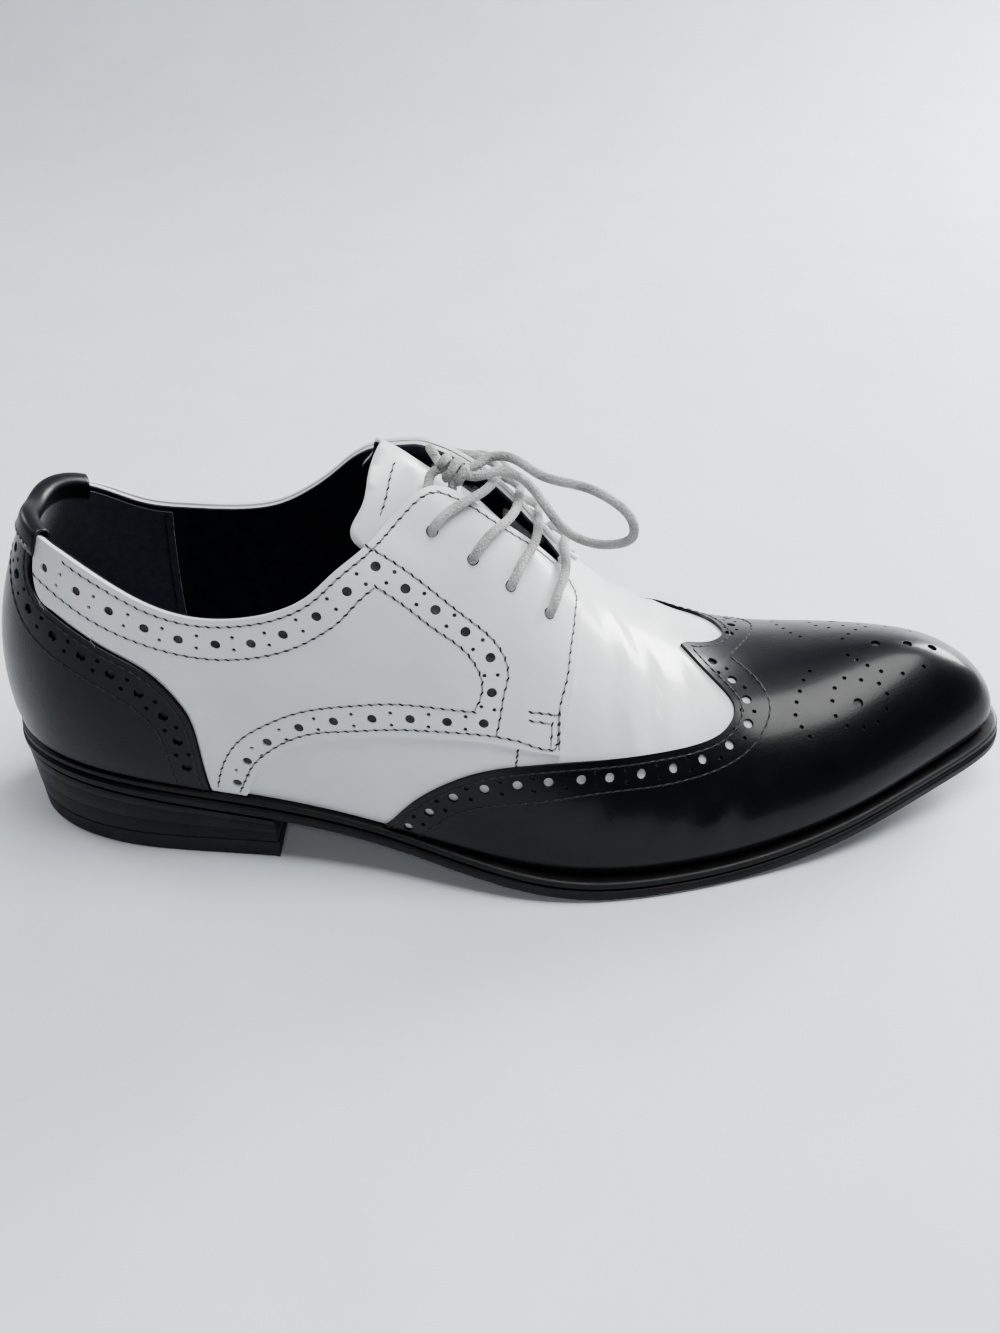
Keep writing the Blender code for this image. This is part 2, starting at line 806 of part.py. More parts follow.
def make_welt(made_of):
    angles = ring_angles()
    reach = welt_reach(angles)
    top = FEATHER_Z(station_of(angles)) - CLEARANCE
    bottom = top - WELT_THICKNESS
    bevel = WELT_THICKNESS * 0.25
    rings = [
        feather_ring(angles, reach - bevel, top),
        feather_ring(angles, reach, top - bevel),
        feather_ring(angles, reach, bottom + bevel),
        feather_ring(angles, reach - bevel - WELT_GROOVE, bottom),
        feather_ring(angles, -WELT_INNER_REACH, bottom),
        feather_ring(angles, -WELT_INNER_REACH, top),
    ]
    return band("welt", rings, made_of)


def make_outsole(made_of):
    """The sole, with the toe spring and arch of the feather line and a flat tread under the ball."""
    angles = ring_angles()
    reach = welt_reach(angles)
    feather = FEATHER_Z(station_of(angles))
    top = feather - WELT_THICKNESS - 2 * CLEARANCE
    bottom = np.maximum(feather - SOLE_THICKNESS, 0)
    bevel = SOLE_THICKNESS * 0.12
    rings = [
        feather_ring(angles, reach - bevel - WELT_GROOVE, top),
        feather_ring(angles, reach + bevel / 2, top - bevel),
        feather_ring(angles, reach + bevel / 2, bottom + 1.5 * bevel),
        feather_ring(angles, reach - bevel, bottom),
    ]
    return slab("outsole", rings, made_of)


def heel_ring(angles, out, height, breast):
    ring = feather_ring(angles, out, height)
    ring[:, 0] = np.minimum(ring[:, 0], breast)
    return ring


def heel_angles():
    return ring_angles(float(angle_of(HEEL_BREAST / LAST_LENGTH)))


def make_heel_block(made_of):
    """The stacked heel under the seat, its front face leaning forward to the sole."""
    angles = heel_angles()
    top = FEATHER_Z(station_of(angles)) - SOLE_THICKNESS - CLEARANCE
    bottom = HEEL_CAP_THICKNESS + CLEARANCE
    rings = [
        heel_ring(angles, WELT_REACH_HEEL, top, HEEL_BREAST + HEEL_BREAST_LEAN),
        heel_ring(angles, WELT_REACH_HEEL - HEEL_TAPER * 0.8, bottom, HEEL_BREAST),
    ]
    return slab("heel_block", rings, made_of)


def make_heel_cap(made_of):
    angles = heel_angles()
    rings = [
        heel_ring(angles, WELT_REACH_HEEL - HEEL_TAPER * 0.8, HEEL_CAP_THICKNESS, HEEL_BREAST),
        heel_ring(angles, WELT_REACH_HEEL - HEEL_TAPER, 0.0, HEEL_BREAST),
    ]
    return slab("heel_cap", rings, made_of)


def make_insole(made_of):
    """The board inside, stepped down into the welt."""
    angles = ring_angles()
    feather = FEATHER_Z(station_of(angles))
    inside = OVERLAY + WALL + 3 * CLEARANCE
    step = WELT_INNER_REACH + CLEARANCE
    rings = [
        feather_ring(angles, -inside - INSOLE_THICKNESS * 0.2, feather + INSOLE_THICKNESS),
        feather_ring(angles, -inside, feather),
        feather_ring(angles, -step, feather),
        feather_ring(angles, -step, feather - WELT_THICKNESS - CLEARANCE),
    ]
    return slab("insole", rings, made_of)


def make_binding(made_of):
    """The strip folded over the collar at the heel."""
    outer_end = float(angle_of(BINDING_STATIONS[0]))
    inner_end = float(angle_of(BINDING_STATIONS[1]))
    run = edge_points(collar_run(-inner_end, outer_end))
    run = np.array(run[: run.index(max(run)) + 1])
    angles, top = run.T
    height = (form(angles, top + 0.01) - form(angles, top - 0.01))[:, 2] / 0.02
    low = top - BINDING_DEPTH / height
    over = top + 2 * CLEARANCE / height
    peak = over + BINDING_THICKNESS / height
    proud = COUNTER_PROUD + CLEARANCE
    within = -OVERLAY - WALL - 3 * CLEARANCE
    skin = BINDING_THICKNESS
    section = [
        (proud + skin, low),
        (proud, low),
        (proud, over),
        (within, over),
        (within, low),
        (within - skin, low),
        (within - skin, over),
        (within, peak),
        (proud, peak),
        (proud + skin, over),
    ]
    rings = [on_last(angles, rise, lift * np.ones_like(angles)) for lift, rise in section]
    count = len(angles)
    corners = len(section)
    points = np.concatenate(rings)
    faces = []
    for c in range(corners):
        for k in range(count - 1):
            a = c * count + k
            b = ((c + 1) % corners) * count + k
            faces.append((a, b, b + 1, a + 1))
    quads = [(0, 1, 2, 9), (2, 3, 7, 8), (2, 8, 9), (3, 4, 5, 6), (3, 6, 7)]
    for quad in quads:
        faces.append(tuple(c * count for c in quad[::-1]))
        faces.append(tuple(c * count + count - 1 for c in quad))
    return add_object("collar_binding", points, faces, made_of)


def along_bar(start, end, bow):
    """Points of a bar between an outer and an inner eyelet given as (station, rise)."""
    first, last = BAR[0][0], BAR[-1][0]
    points = []
    for across, share, lift in BAR:
        scale = (1 - start[1]) / -first if across < 0 else (1 - end[1]) / last
        reached = (across - first) / (last - first)
        station = start[0] + (end[0] - start[0]) * reached + bow * share
        points.append(lace_point(station, across * scale, lift))
    return points


def lace_point(station, across, lift):
    """A place in space given across the crest: outer side below nought, inner side above."""
    angle = float(angle_of(station))
    angle = angle if across < 0 else math.tau - angle
    return on_last(np.array([angle]), np.array([1 - abs(across)]), np.array([lift]))[0]


def along_link(start, end, sign):
    """Points between two eyelets of one side, given as (station, rise)."""
    points = []
    for share, lift in LINK:
        station = start[0] + (end[0] - start[0]) * share
        rise = start[1] + (end[1] - start[1]) * share
        points.append(lace_point(station, sign * (1 - rise), lift))
    return points


def lace_route():
    """The lace's way: four bars down the throat, joined under the facings, and two ends up to the knot."""
    outer = [(station, rise) for station, rise in EYELETS]
    inner = [(station, rise + INNER_EYELET_RISE) for station, rise in EYELETS]
    bars = [along_bar(*pair) for pair in zip(outer, inner, BAR_BOWS)]
    route = [lace_point(*row) for row in SHORT_END[::-1]]
    route += bars[0] + along_link(inner[0], inner[1], 1) + bars[1][::-1]
    route += along_link(outer[1], outer[2], -1) + bars[2]
    route += along_link(inner[2], inner[3], 1) + bars[3][::-1]
    return route + [lace_point(*row) for row in LONG_END]


def knot_route():
    """Turns round the line between the knot's ends, then the standing tip."""
    start, end = np.array(KNOT_FROM), np.array(KNOT_TO)
    axis = (end - start) / np.linalg.norm(end - start)
    side = np.cross(axis, [0, 0, 1])
    side /= np.linalg.norm(side)
    up = np.cross(side, axis)
    count = round(10 * KNOT_TURNS)
    route = []
    for k in range(count + 1):
        turn = math.tau * KNOT_TURNS * k / count
        away = math.cos(turn) * up + math.sin(turn) * side
        route.append(end + (start - end) * k / count + KNOT_RADIUS * away)
    return route + [np.array(row) for row in TIP]


def smooth_route(rows, step):
    """Points at even steps on a smooth curve through the rows."""
    rows = np.array(rows)
    reach = np.concatenate([[0], np.cumsum(np.linalg.norm(np.diff(rows, axis=0), axis=1))])
    count = max(2, round(reach[-1] / step))
    places = np.linspace(0, reach[-1], count + 1)
    return np.stack([spline(reach, rows[:, k])(places) for k in range(3)], axis=-1)


def cord_curve(name, rows, made_of):
    """A free length of lace as a curve with a round section."""
    route = smooth_route(rows, CORD_STEP * 2 * LACE_RADIUS)
    data = bpy.data.curves.new(name, "CURVE")
    data.dimensions = "3D"
    data.bevel_depth = LACE_RADIUS
    data.bevel_resolution = LACE_ROUNDNESS
    data.use_fill_caps = True
    line = data.splines.new("POLY")
    line.points.add(len(route) - 1)
    for point, place in zip(line.points, route):
        point.co = (*place, 1)
    data.materials.append(made_of)
    piece = bpy.data.objects.new(name, data)
    bpy.context.scene.collection.objects.link(piece)
    return piece


def tube(name, path, radius, sides, made_of):
    """A round closed cord along a path of points."""
    path = np.array(path)
    ahead = np.gradient(path, axis=0)
    ahead /= np.linalg.norm(ahead, axis=1, keepdims=True)
    side = np.cross(ahead[0], [0, 0, 1])
    side /= np.linalg.norm(side)
    points = []
    for place, forward in zip(path, ahead):
        side = side - forward * (side @ forward)
        side /= np.linalg.norm(side)
        up = np.cross(forward, side)
        for k in range(sides):
            turn = math.tau * k / sides
            points.append(place + radius * (math.cos(turn) * side + math.sin(turn) * up))
    faces = [tuple(range(sides))[::-1]]
    for r in range(len(path) - 1):
        for k in range(sides):
            a = r * sides + k
            b = r * sides + (k + 1) % sides
            faces.append((a, b, b + sides, a + sides))
    faces.append(tuple((len(path) - 1) * sides + k for k in range(sides)))
    return add_object(name, points, faces, made_of)


def move_to_origin(pieces, cords, knot):
    """Puts the middle of the footprint box of the pieces at the origin, with the floor at nought."""
    corners = np.concatenate([[v.co for v in piece.data.vertices] for piece in pieces])
    low, high = corners.min(axis=0), corners.max(axis=0)
    shift = Vector(((low[0] + high[0]) / 2, (low[1] + high[1]) / 2, low[2]))
    for piece in pieces + [knot]:
        for vertex in piece.data.vertices:
            vertex.co -= shift
    for cord in cords:
        for point in cord.data.splines[0].points:
            point.co -= Vector((*shift, 0))


def main():
    for old in list(bpy.data.objects):
        bpy.data.objects.remove(old)
    white = material("white_leather", (0.78, 0.79, 0.80), 0.35, 0.2)
    black = material("black_leather", (0.012, 0.014, 0.016), 0.22, 0.5)
    lining = material("lining_leather", (0.015, 0.02, 0.035), 0.6)
    board = material("insole_board", (0.25, 0.22, 0.19), 0.8)
    edge = material("sole_edge", (0.014, 0.014, 0.015), 0.4)
    tread = material("heel_rubber", (0.02, 0.02, 0.02), 0.7)
    cord = material("lace_cord", (0.62, 0.62, 0.61), 0.75)
    pieces = [
        make_upper(white),
        make_quarter("outer", white),
        make_quarter("inner", white),
        make_wingtip(black),
        make_counter(black),
        make_binding(lining),
        make_tongue(white),
        make_insole(board),
        make_welt(edge),
        make_outsole(edge),
        make_heel_block(edge),
        make_heel_cap(tread),
        tube("lace_crossings", lace_route(), LACE_RADIUS, 8, cord),
    ]
    knot = tube("lace_knot", knot_route(), LACE_RADIUS, 8, cord)
    loops = [
        cord_curve("lace_outer_loop", OUTER_LOOP, cord),
        cord_curve("lace_inner_end", INNER_END, cord),
    ]
    move_to_origin(pieces, loops, knot)


main()
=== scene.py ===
"""The dressed spectator shoe: leather sheets, punched holes, stitches, lining, lace, sole and a studio."""

import math

import bpy
import numpy as np
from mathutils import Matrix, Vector
from mathutils.geometry import delaunay_2d_cdt


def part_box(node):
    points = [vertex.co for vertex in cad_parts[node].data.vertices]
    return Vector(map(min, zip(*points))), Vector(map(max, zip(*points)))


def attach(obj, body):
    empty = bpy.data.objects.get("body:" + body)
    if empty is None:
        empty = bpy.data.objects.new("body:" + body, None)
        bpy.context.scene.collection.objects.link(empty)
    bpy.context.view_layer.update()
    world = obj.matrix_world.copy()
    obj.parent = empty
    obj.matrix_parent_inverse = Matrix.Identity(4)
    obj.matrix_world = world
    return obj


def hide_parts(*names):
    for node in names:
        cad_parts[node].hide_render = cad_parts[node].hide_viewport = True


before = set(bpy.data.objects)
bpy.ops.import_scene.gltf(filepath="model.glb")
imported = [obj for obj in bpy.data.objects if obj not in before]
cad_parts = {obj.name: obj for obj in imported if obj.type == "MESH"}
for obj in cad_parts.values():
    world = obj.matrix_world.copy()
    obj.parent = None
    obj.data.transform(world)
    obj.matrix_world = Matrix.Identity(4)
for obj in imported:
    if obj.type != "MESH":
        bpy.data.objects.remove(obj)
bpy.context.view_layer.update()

# Driving dimensions of the last
LAST_LENGTH = 0.2978
BALL_WIDTH = 0.100
SEAT_HEIGHT = 0.0313
INSTEP_HEIGHT = 0.1215
CREST_START = 0.13
CREST_END = 0.86
# Rise over which the last counts as its crest, and the step that its slopes are measured over
CREST_ZONE = 0.985
SLOPE_STEP = 1e-4

# Leather
WALL = 0.0016
OVERLAY = 0.00105
COUNTER_PROUD = 0.0004
CLEARANCE = 0.0003
EYELET_RADIUS = 0.0022
TONGUE_THICKNESS = 0.0018
BINDING_THICKNESS = 0.0009
BINDING_DEPTH = 0.0050

# Bottom
SOLE_THICKNESS = 0.0070
WELT_THICKNESS = 0.0024
WELT_REACH_FOREPART = 0.0042
WELT_REACH_HEEL = 0.0013
WELT_INNER_REACH = 0.0050
HEEL_BREAST = 0.0815
HEEL_BREAST_LEAN = 0.0020
HEEL_CAP_THICKNESS = 0.0062
HEEL_TAPER = 0.0012

# Lace
LACE_RADIUS = 0.00135

# The last's bottom seen from below, in shares of its length and of the ball width
OUTLINE = (
    # station, outer, inner
    (0.000, 0.000, 0.000), (0.030, 0.186, 0.192), (0.120, 0.320, 0.303), (0.250, 0.372, 0.302),
    (0.400, 0.453, 0.296), (0.530, 0.540, 0.356), (0.640, 0.528, 0.476), (0.740, 0.455, 0.484),
    (0.830, 0.361, 0.426), (0.910, 0.237, 0.328), (0.970, 0.131, 0.204), (1.000, 0.000, 0.000),
)

# Height of the feather line over the floor, in shares of the seat's
FEATHER = (
    # station, height
    (0.00, 1.000), (0.10, 0.946), (0.20, 0.821), (0.30, 0.693), (0.40, 0.530), (0.50, 0.345),
    (0.58, 0.236), (0.66, 0.211), (0.74, 0.233), (0.82, 0.348), (0.90, 0.505), (1.00, 0.703),
)

# Crest over instep and toes, in shares of the last's length, the instep's height and the ball width
CREST = (
    # station, height
    (0.00, 1.235), (0.20, 1.202), (0.34, 1.053), (0.40, 1.000), (0.45, 0.959), (0.50, 0.872),
    (0.55, 0.720), (0.60, 0.572), (0.65, 0.471), (0.70, 0.408), (0.76, 0.375), (0.82, 0.381),
    (0.90, 0.400), (1.00, 0.416),
)
CREST_LEAN = (
    # station, to the inner side
    (0.00, 0.005), (0.30, 0.033), (0.50, 0.029), (0.70, -0.032), (0.85, 0.004), (1.00, 0.028),
)

# Sections of the wall: how square they are across and upwards, and how far they swell over the feather line
SECTIONS = (
    # station, across, upwards, swell as a share of the ball width
    (0.00, 0.50, 2.50, 0.018), (0.12, 1.90, 1.85, 0.032), (0.25, 2.50, 1.83, 0.012),
    (0.40, 2.20, 1.60, 0.020), (0.52, 2.00, 1.45, 0.019), (0.64, 2.25, 1.95, 0.029),
    (0.75, 2.40, 1.90, 0.029), (0.87, 2.30, 1.90, 0.035), (1.00, 2.45, 1.95, 0.020),
)

# Collar from the heel to the top of the facings
COLLAR = (
    # station, outer rise, inner rise
    (0.000, 0.346, 0.346), (0.020, 0.372, 0.362), (0.060, 0.389, 0.374), (0.095, 0.395, 0.364),
    (0.136, 0.383, 0.350), (0.177, 0.361, 0.354), (0.223, 0.353, 0.368), (0.270, 0.380, 0.409),
    (0.302, 0.421, 0.475), (0.324, 0.466, 0.540), (0.345, 0.529, 0.625), (0.376, 0.618, 0.735),
    (0.407, 0.732, 0.810), (0.421, 0.780, 0.845),
)

# Edge of the facings from their top corner to the vamp
THROAT = (
    # station, outer rise, inner rise
    (0.434, 0.811, 0.860), (0.447, 0.827, 0.866), (0.481, 0.834, 0.868), (0.517, 0.846, 0.876),
    (0.557, 0.894, 0.905), (0.580, 0.919, 0.925),
)
THROAT_END = 0.597

# Front of the quarters, from the throat down to their front corner
QUARTER_FRONT = (
    # station, outer rise, inner rise
    (0.595, 0.926, 0.932), (0.604, 0.908, 0.915), (0.607, 0.860, 0.865), (0.602, 0.807, 0.807),
    (0.598, 0.760, 0.760), (0.589, 0.666, 0.666), (0.582, 0.584, 0.584), (0.570, 0.478, 0.478),
    (0.561, 0.382, 0.382),
)

# Lower edge of the quarters, arched over the waist
QUARTER_FOOT = (
    # station, rise
    (0.520, 0.359), (0.500, 0.349), (0.444, 0.305), (0.401, 0.264), (0.356, 0.214), (0.324, 0.179),
    (0.297, 0.140), (0.281, 0.110), (0.266, 0.073), (0.256, 0.031), (0.249, 0.000),
)

# Front edge of the heel counter, from the feather line to the collar
COUNTER_EDGE = (
    # station, rise
    (0.213, 0.000), (0.212, 0.053), (0.211, 0.106), (0.207, 0.159), (0.194, 0.202), (0.178, 0.232),
    (0.139, 0.263), (0.112, 0.275), (0.080, 0.283), (0.057, 0.297), (0.049, 0.323), (0.047, 0.360),
    (0.050, 0.378),
)
# How far the quarters stop short of the counter, in station and rise
COUNTER_SEAM = (0.0030, 0.0070)

# Upper edge of the wingtip, from the feather line to the peak, on either side
WING_OUTER = (
    # station, rise
    (0.385, 0.000), (0.414, 0.118), (0.451, 0.214), (0.475, 0.259), (0.499, 0.293), (0.562, 0.362),
    (0.621, 0.427), (0.662, 0.480), (0.711, 0.549), (0.735, 0.593), (0.755, 0.652), (0.766, 0.703),
    (0.771, 0.760), (0.768, 0.836), (0.762, 0.917),
)
WING_INNER = (
    # station, rise
    (0.385, 0.000), (0.414, 0.118), (0.451, 0.214), (0.499, 0.293), (0.562, 0.362), (0.621, 0.440),
    (0.680, 0.540), (0.720, 0.620), (0.749, 0.691), (0.779, 0.802), (0.791, 0.877), (0.786, 0.940),
)
WING_PEAK = 0.757

# Eyelets of the outer facing from the top one down; the inner facing's lie a little nearer the crest
EYELETS = (
    # station, rise
    (0.440, 0.703), (0.482, 0.688), (0.521, 0.691), (0.562, 0.710),
)
INNER_EYELET_RISE = 0.030

# Tongue: its side edge from top to bottom, and how deep it lies under the quarters
TONGUE_EDGE = (
    # station, rise
    (0.372, 0.930), (0.372, 0.800), (0.368, 0.700), (0.362, 0.620), (0.380, 0.600), (0.450, 0.640),
    (0.540, 0.700), (0.610, 0.780),
)
TONGUE_TOP = 0.371
TONGUE_FOOT = 0.625
TONGUE_DEPTH = (
    # station, depth in metres
    (0.36, 0.0034), (0.39, 0.0045), (0.43, 0.0072), (0.50, 0.0078), (0.56, 0.0070), (0.60, 0.0044),
    (0.64, 0.0034),
)

# Binding over the collar at the heel, from the outer side round to the inner side
BINDING_STATIONS = (0.056, 0.070)

# A bar of the lace over the gap, from an outer eyelet to the inner one of its pair
BAR = (
    # across, share of its forward bow, lift in metres
    (-0.300, 0.00, 0.0002), (-0.293, 0.01, 0.0013), (-0.270, 0.10, 0.0020), (-0.225, 0.32, 0.0020),
    (-0.180, 0.56, 0.0021), (-0.120, 0.80, 0.0022), (-0.050, 0.95, 0.0022), (0.020, 1.00, 0.0021),
    (0.080, 0.96, 0.0022), (0.130, 0.82, 0.0022), (0.180, 0.58, 0.0021), (0.225, 0.28, 0.0020),
    (0.250, 0.08, 0.0019), (0.264, 0.01, 0.0013), (0.270, 0.00, 0.0002),
)
# How far each bar bows to the toe, from the top one down, in station
BAR_BOWS = (0.066, 0.050, 0.034, 0.026)
# The lace between two eyelets of one side, under the facing
LINK = (
    # share of the way, lift in metres
    (0.00, -0.0036), (0.06, -0.0045), (0.20, -0.0050), (0.50, -0.0052), (0.80, -0.0050), (0.94, -0.0045),
    (1.00, -0.0036),
)
# Its long end, from the lowest outer eyelet up under the facing to the knot
LONG_END = (
    # station, across, lift in metres
    (0.562, -0.290, -0.0036), (0.559, -0.280, -0.0046), (0.550, -0.250, -0.0051),
    (0.530, -0.215, -0.0052), (0.505, -0.185, -0.0052), (0.480, -0.150, -0.0052),
    (0.468, -0.125, -0.0051),
)
# Its short end, from the top outer eyelet to the knot
SHORT_END = (
    # station, across, lift in metres
    (0.440, -0.300, -0.0036), (0.438, -0.290, -0.0046), (0.435, -0.250, -0.0050),
    (0.436, -0.200, -0.0050), (0.438, -0.150, -0.0047), (0.439, -0.120, -0.0040),
)

# The knot: turns of lace round its two strands, and the tip that stands out of it, in metres from the heel
KNOT_FROM = (0.1350, -0.0026, 0.1122)
KNOT_TO = (0.1414, -0.0036, 0.1102)
KNOT_RADIUS = 0.0026
KNOT_TURNS = 2.1
TIP = (
    # x, y, z
    (0.1340, -0.0004, 0.1126), (0.1325, 0.0018, 0.1142), (0.1310, 0.0038, 0.1156),
)

# The bow's outer loop, from the knot out over the vamp and back
OUTER_LOOP = (
    # x, y, z
    (0.1440, -0.0020, 0.1118), (0.1482, 0.0002, 0.1132), (0.1535, -0.0010, 0.1138),
    (0.1622, -0.0070, 0.1112), (0.1738, -0.0125, 0.1103), (0.1820, -0.0165, 0.1075),
    (0.1866, -0.0182, 0.1026), (0.1868, -0.0182, 0.0980), (0.1832, -0.0162, 0.0946),
    (0.1762, -0.0120, 0.0924), (0.1696, -0.0080, 0.0936), (0.1643, -0.0030, 0.0978),
    (0.1597, 0.0004, 0.1033), (0.1550, -0.0026, 0.1092), (0.1500, -0.0050, 0.1116),
    (0.1447, -0.0060, 0.1108),
)
# The bow's end on the inner side, from under the loop over the facing and down the quarter
INNER_END = (
    # x, y, z
    (0.1560, 0.0040, 0.1050), (0.1535, 0.0085, 0.1043), (0.1505, 0.0122, 0.1052),
    (0.1468, 0.0150, 0.1062), (0.1425, 0.0184, 0.1045), (0.1385, 0.0222, 0.0995),
    (0.1355, 0.0262, 0.0920), (0.1335, 0.0300, 0.0830), (0.1325, 0.0325, 0.0740),
    (0.1318, 0.0345, 0.0650),
)


def spline(places, values):
    """A natural cubic curve through values at rising places, as a function of arrays."""
    places = np.asarray(places, float)
    values = np.asarray(values, float)
    count = len(places)
    steps = np.diff(places)
    system = np.eye(count)
    target = np.zeros(count)
    for i in range(1, count - 1):
        system[i, i - 1 : i + 2] = steps[i - 1], 2 * (steps[i - 1] + steps[i]), steps[i]
        rise_after = (values[i + 1] - values[i]) / steps[i]
        rise_before = (values[i] - values[i - 1]) / steps[i - 1]
        target[i] = 6 * (rise_after - rise_before)
    bends = np.linalg.solve(system, target)

    def curve(x):
        x = np.clip(x, places[0], places[-1])
        i = np.clip(np.searchsorted(places, x) - 1, 0, count - 2)
        left = (places[i + 1] - x) / steps[i]
        right = (x - places[i]) / steps[i]
        bent = (left**3 - left) * bends[i] + (right**3 - right) * bends[i + 1]
        return left * values[i] + right * values[i + 1] + bent * steps[i] ** 2 / 6

    return curve


def column(table, index):
    return [row[index] for row in table]


def path_reach(path):
    """How far along a path each of its points lies."""
    return np.concatenate([[0], np.cumsum(np.linalg.norm(np.diff(path, axis=0), axis=1))])


def unit(vectors):
    return vectors / np.linalg.norm(vectors, axis=-1, keepdims=True)


def angle_of(station):
    """Angle on the outer side that reaches a station."""
    return np.arccos(1 - 2 * np.asarray(station, float))


def station_of(angle):
    return (1 - np.cos(angle)) / 2


def outline_curve():
    """Sideways place of the feather line for any angle, drawn through the outline on both sides."""
    angles = angle_of(column(OUTLINE, 0))
    around = np.concatenate([angles, (math.tau - angles)[::-1][1:]])
    outer = -BALL_WIDTH * np.array(column(OUTLINE, 1))
    inner = BALL_WIDTH * np.array(column(OUTLINE, 2))
    across = np.concatenate([outer, inner[::-1][1:]])
    turns = [around[:-1] - math.tau, around, around[1:] + math.tau]
    return spline(np.concatenate(turns), np.concatenate([across[:-1], across, across[1:]]))


OUTLINE_Y = outline_curve()
FEATHER_Z = spline(column(FEATHER, 0), SEAT_HEIGHT * np.array(column(FEATHER, 1)))
CREST_Z = spline(column(CREST, 0), INSTEP_HEIGHT * np.array(column(CREST, 1)))
CREST_Y = spline(column(CREST_LEAN, 0), BALL_WIDTH * np.array(column(CREST_LEAN, 1)))
ACROSS = spline(column(SECTIONS, 0), column(SECTIONS, 1))
UPWARDS = spline(column(SECTIONS, 0), column(SECTIONS, 2))
SWELL = spline(column(SECTIONS, 0), BALL_WIDTH * np.array(column(SECTIONS, 3)))
DEPTH = spline(column(TONGUE_DEPTH, 0), column(TONGUE_DEPTH, 1))


def form(angle, rise):
    """Points on the last."""
    angle = np.asarray(angle, float) % math.tau
    turn = np.clip(np.asarray(rise, float), 0, 1) * math.pi / 2
    station = station_of(angle)
    middle_x = LAST_LENGTH * (CREST_START + (CREST_END - CREST_START) * station)
    middle_y = CREST_Y(middle_x / LAST_LENGTH)
    away_x = LAST_LENGTH * station - middle_x
    away_y = OUTLINE_Y(angle) - middle_y
    reach = np.hypot(away_x, away_y)
    climb = np.sin(turn) ** (2 / UPWARDS(station))
    out = reach * np.maximum(np.cos(turn), 0) ** (2 / ACROSS(station))
    out = out + SWELL(station) * np.sin(math.pi * climb**0.58)
    out = np.where(turn > math.pi / 2 - 1e-9, 0, out)
    x = middle_x + away_x / reach * out
    y = middle_y + away_y / reach * out
    foot = FEATHER_Z(station)
    z = foot + (CREST_Z(x / LAST_LENGTH) - foot) * climb
    return np.stack([x, y, z], axis=-1)


def facing_out(angle, rise):
    """Unit normals of the last, level at the feather line and square to the crest on top."""
    step = SLOPE_STEP
    inside = np.clip(rise, 0.06, CREST_ZONE)
    along = form(angle + step, inside) - form(angle - step, inside)
    upward = form(angle, inside + step) - form(angle, inside - step)
    normal = np.cross(along, upward)
    normal[..., 2] *= np.clip(np.asarray(rise, float) / 0.10, 0, 1)
    crest = LAST_LENGTH * (CREST_START + (CREST_END - CREST_START) * station_of(angle))
    slope = (CREST_Z((crest + step) / LAST_LENGTH) - CREST_Z((crest - step) / LAST_LENGTH)) / (2 * step)
    upright = np.stack([-slope, np.zeros_like(slope), np.ones_like(slope)], axis=-1)
    normal = np.where((np.asarray(rise) > CREST_ZONE)[..., None], upright, normal)
    return unit(normal)


def on_last(angle, rise, lift):
    """Points lifted off the last along its normals."""
    angle = np.asarray(angle, float)
    rise = np.asarray(rise, float)
    return form(angle, rise) + facing_out(angle, rise) * np.asarray(lift, float)[..., None]


def feather_normal(angle):
    """Level unit normals that point out of the feather line."""
    step = SLOPE_STEP
    ahead_x = LAST_LENGTH * (station_of(angle + step) - station_of(angle - step))
    ahead_y = OUTLINE_Y((angle + step) % math.tau) - OUTLINE_Y((angle - step) % math.tau)
    away = np.stack([ahead_y, -ahead_x], axis=-1)
    return unit(away)


def feather_ring(angles, out, height):
    """Points a reach outside the feather line at given heights."""
    away = feather_normal(angles)
    x = LAST_LENGTH * station_of(angles) + away[:, 0] * out
    y = OUTLINE_Y(angles % math.tau) + away[:, 1] * out
    return np.stack([x, y, height * np.ones_like(x)], axis=-1)


def along_bar(start, end, bow):
    """Points of a bar between an outer and an inner eyelet given as (station, rise)."""
    first, last = BAR[0][0], BAR[-1][0]
    points = []
    for across, share, lift in BAR:
        scale = (1 - start[1]) / -first if across < 0 else (1 - end[1]) / last
        reached = (across - first) / (last - first)
        station = start[0] + (end[0] - start[0]) * reached + bow * share
        points.append(lace_point(station, across * scale, lift))
    return points


def lace_point(station, across, lift):
    """A place in space given across the crest: outer side below nought, inner side above."""
    angle = float(angle_of(station))
    angle = angle if across < 0 else math.tau - angle
    return on_last(np.array([angle]), np.array([1 - abs(across)]), np.array([lift]))[0]


def along_link(start, end, sign):
    """Points between two eyelets of one side, given as (station, rise)."""
    points = []
    for share, lift in LINK:
        station = start[0] + (end[0] - start[0]) * share
        rise = start[1] + (end[1] - start[1]) * share
        points.append(lace_point(station, sign * (1 - rise), lift))
    return points


def lace_route():
    """The lace's way: four bars down the throat, joined under the facings, and two ends up to the knot."""
    outer = [(station, rise) for station, rise in EYELETS]
    inner = [(station, rise + INNER_EYELET_RISE) for station, rise in EYELETS]
    bars = [along_bar(*pair) for pair in zip(outer, inner, BAR_BOWS)]
    route = [lace_point(*row) for row in SHORT_END[::-1]]
    route += bars[0] + along_link(inner[0], inner[1], 1) + bars[1][::-1]
    route += along_link(outer[1], outer[2], -1) + bars[2]
    route += along_link(inner[2], inner[3], 1) + bars[3][::-1]
    return route + [lace_point(*row) for row in LONG_END]


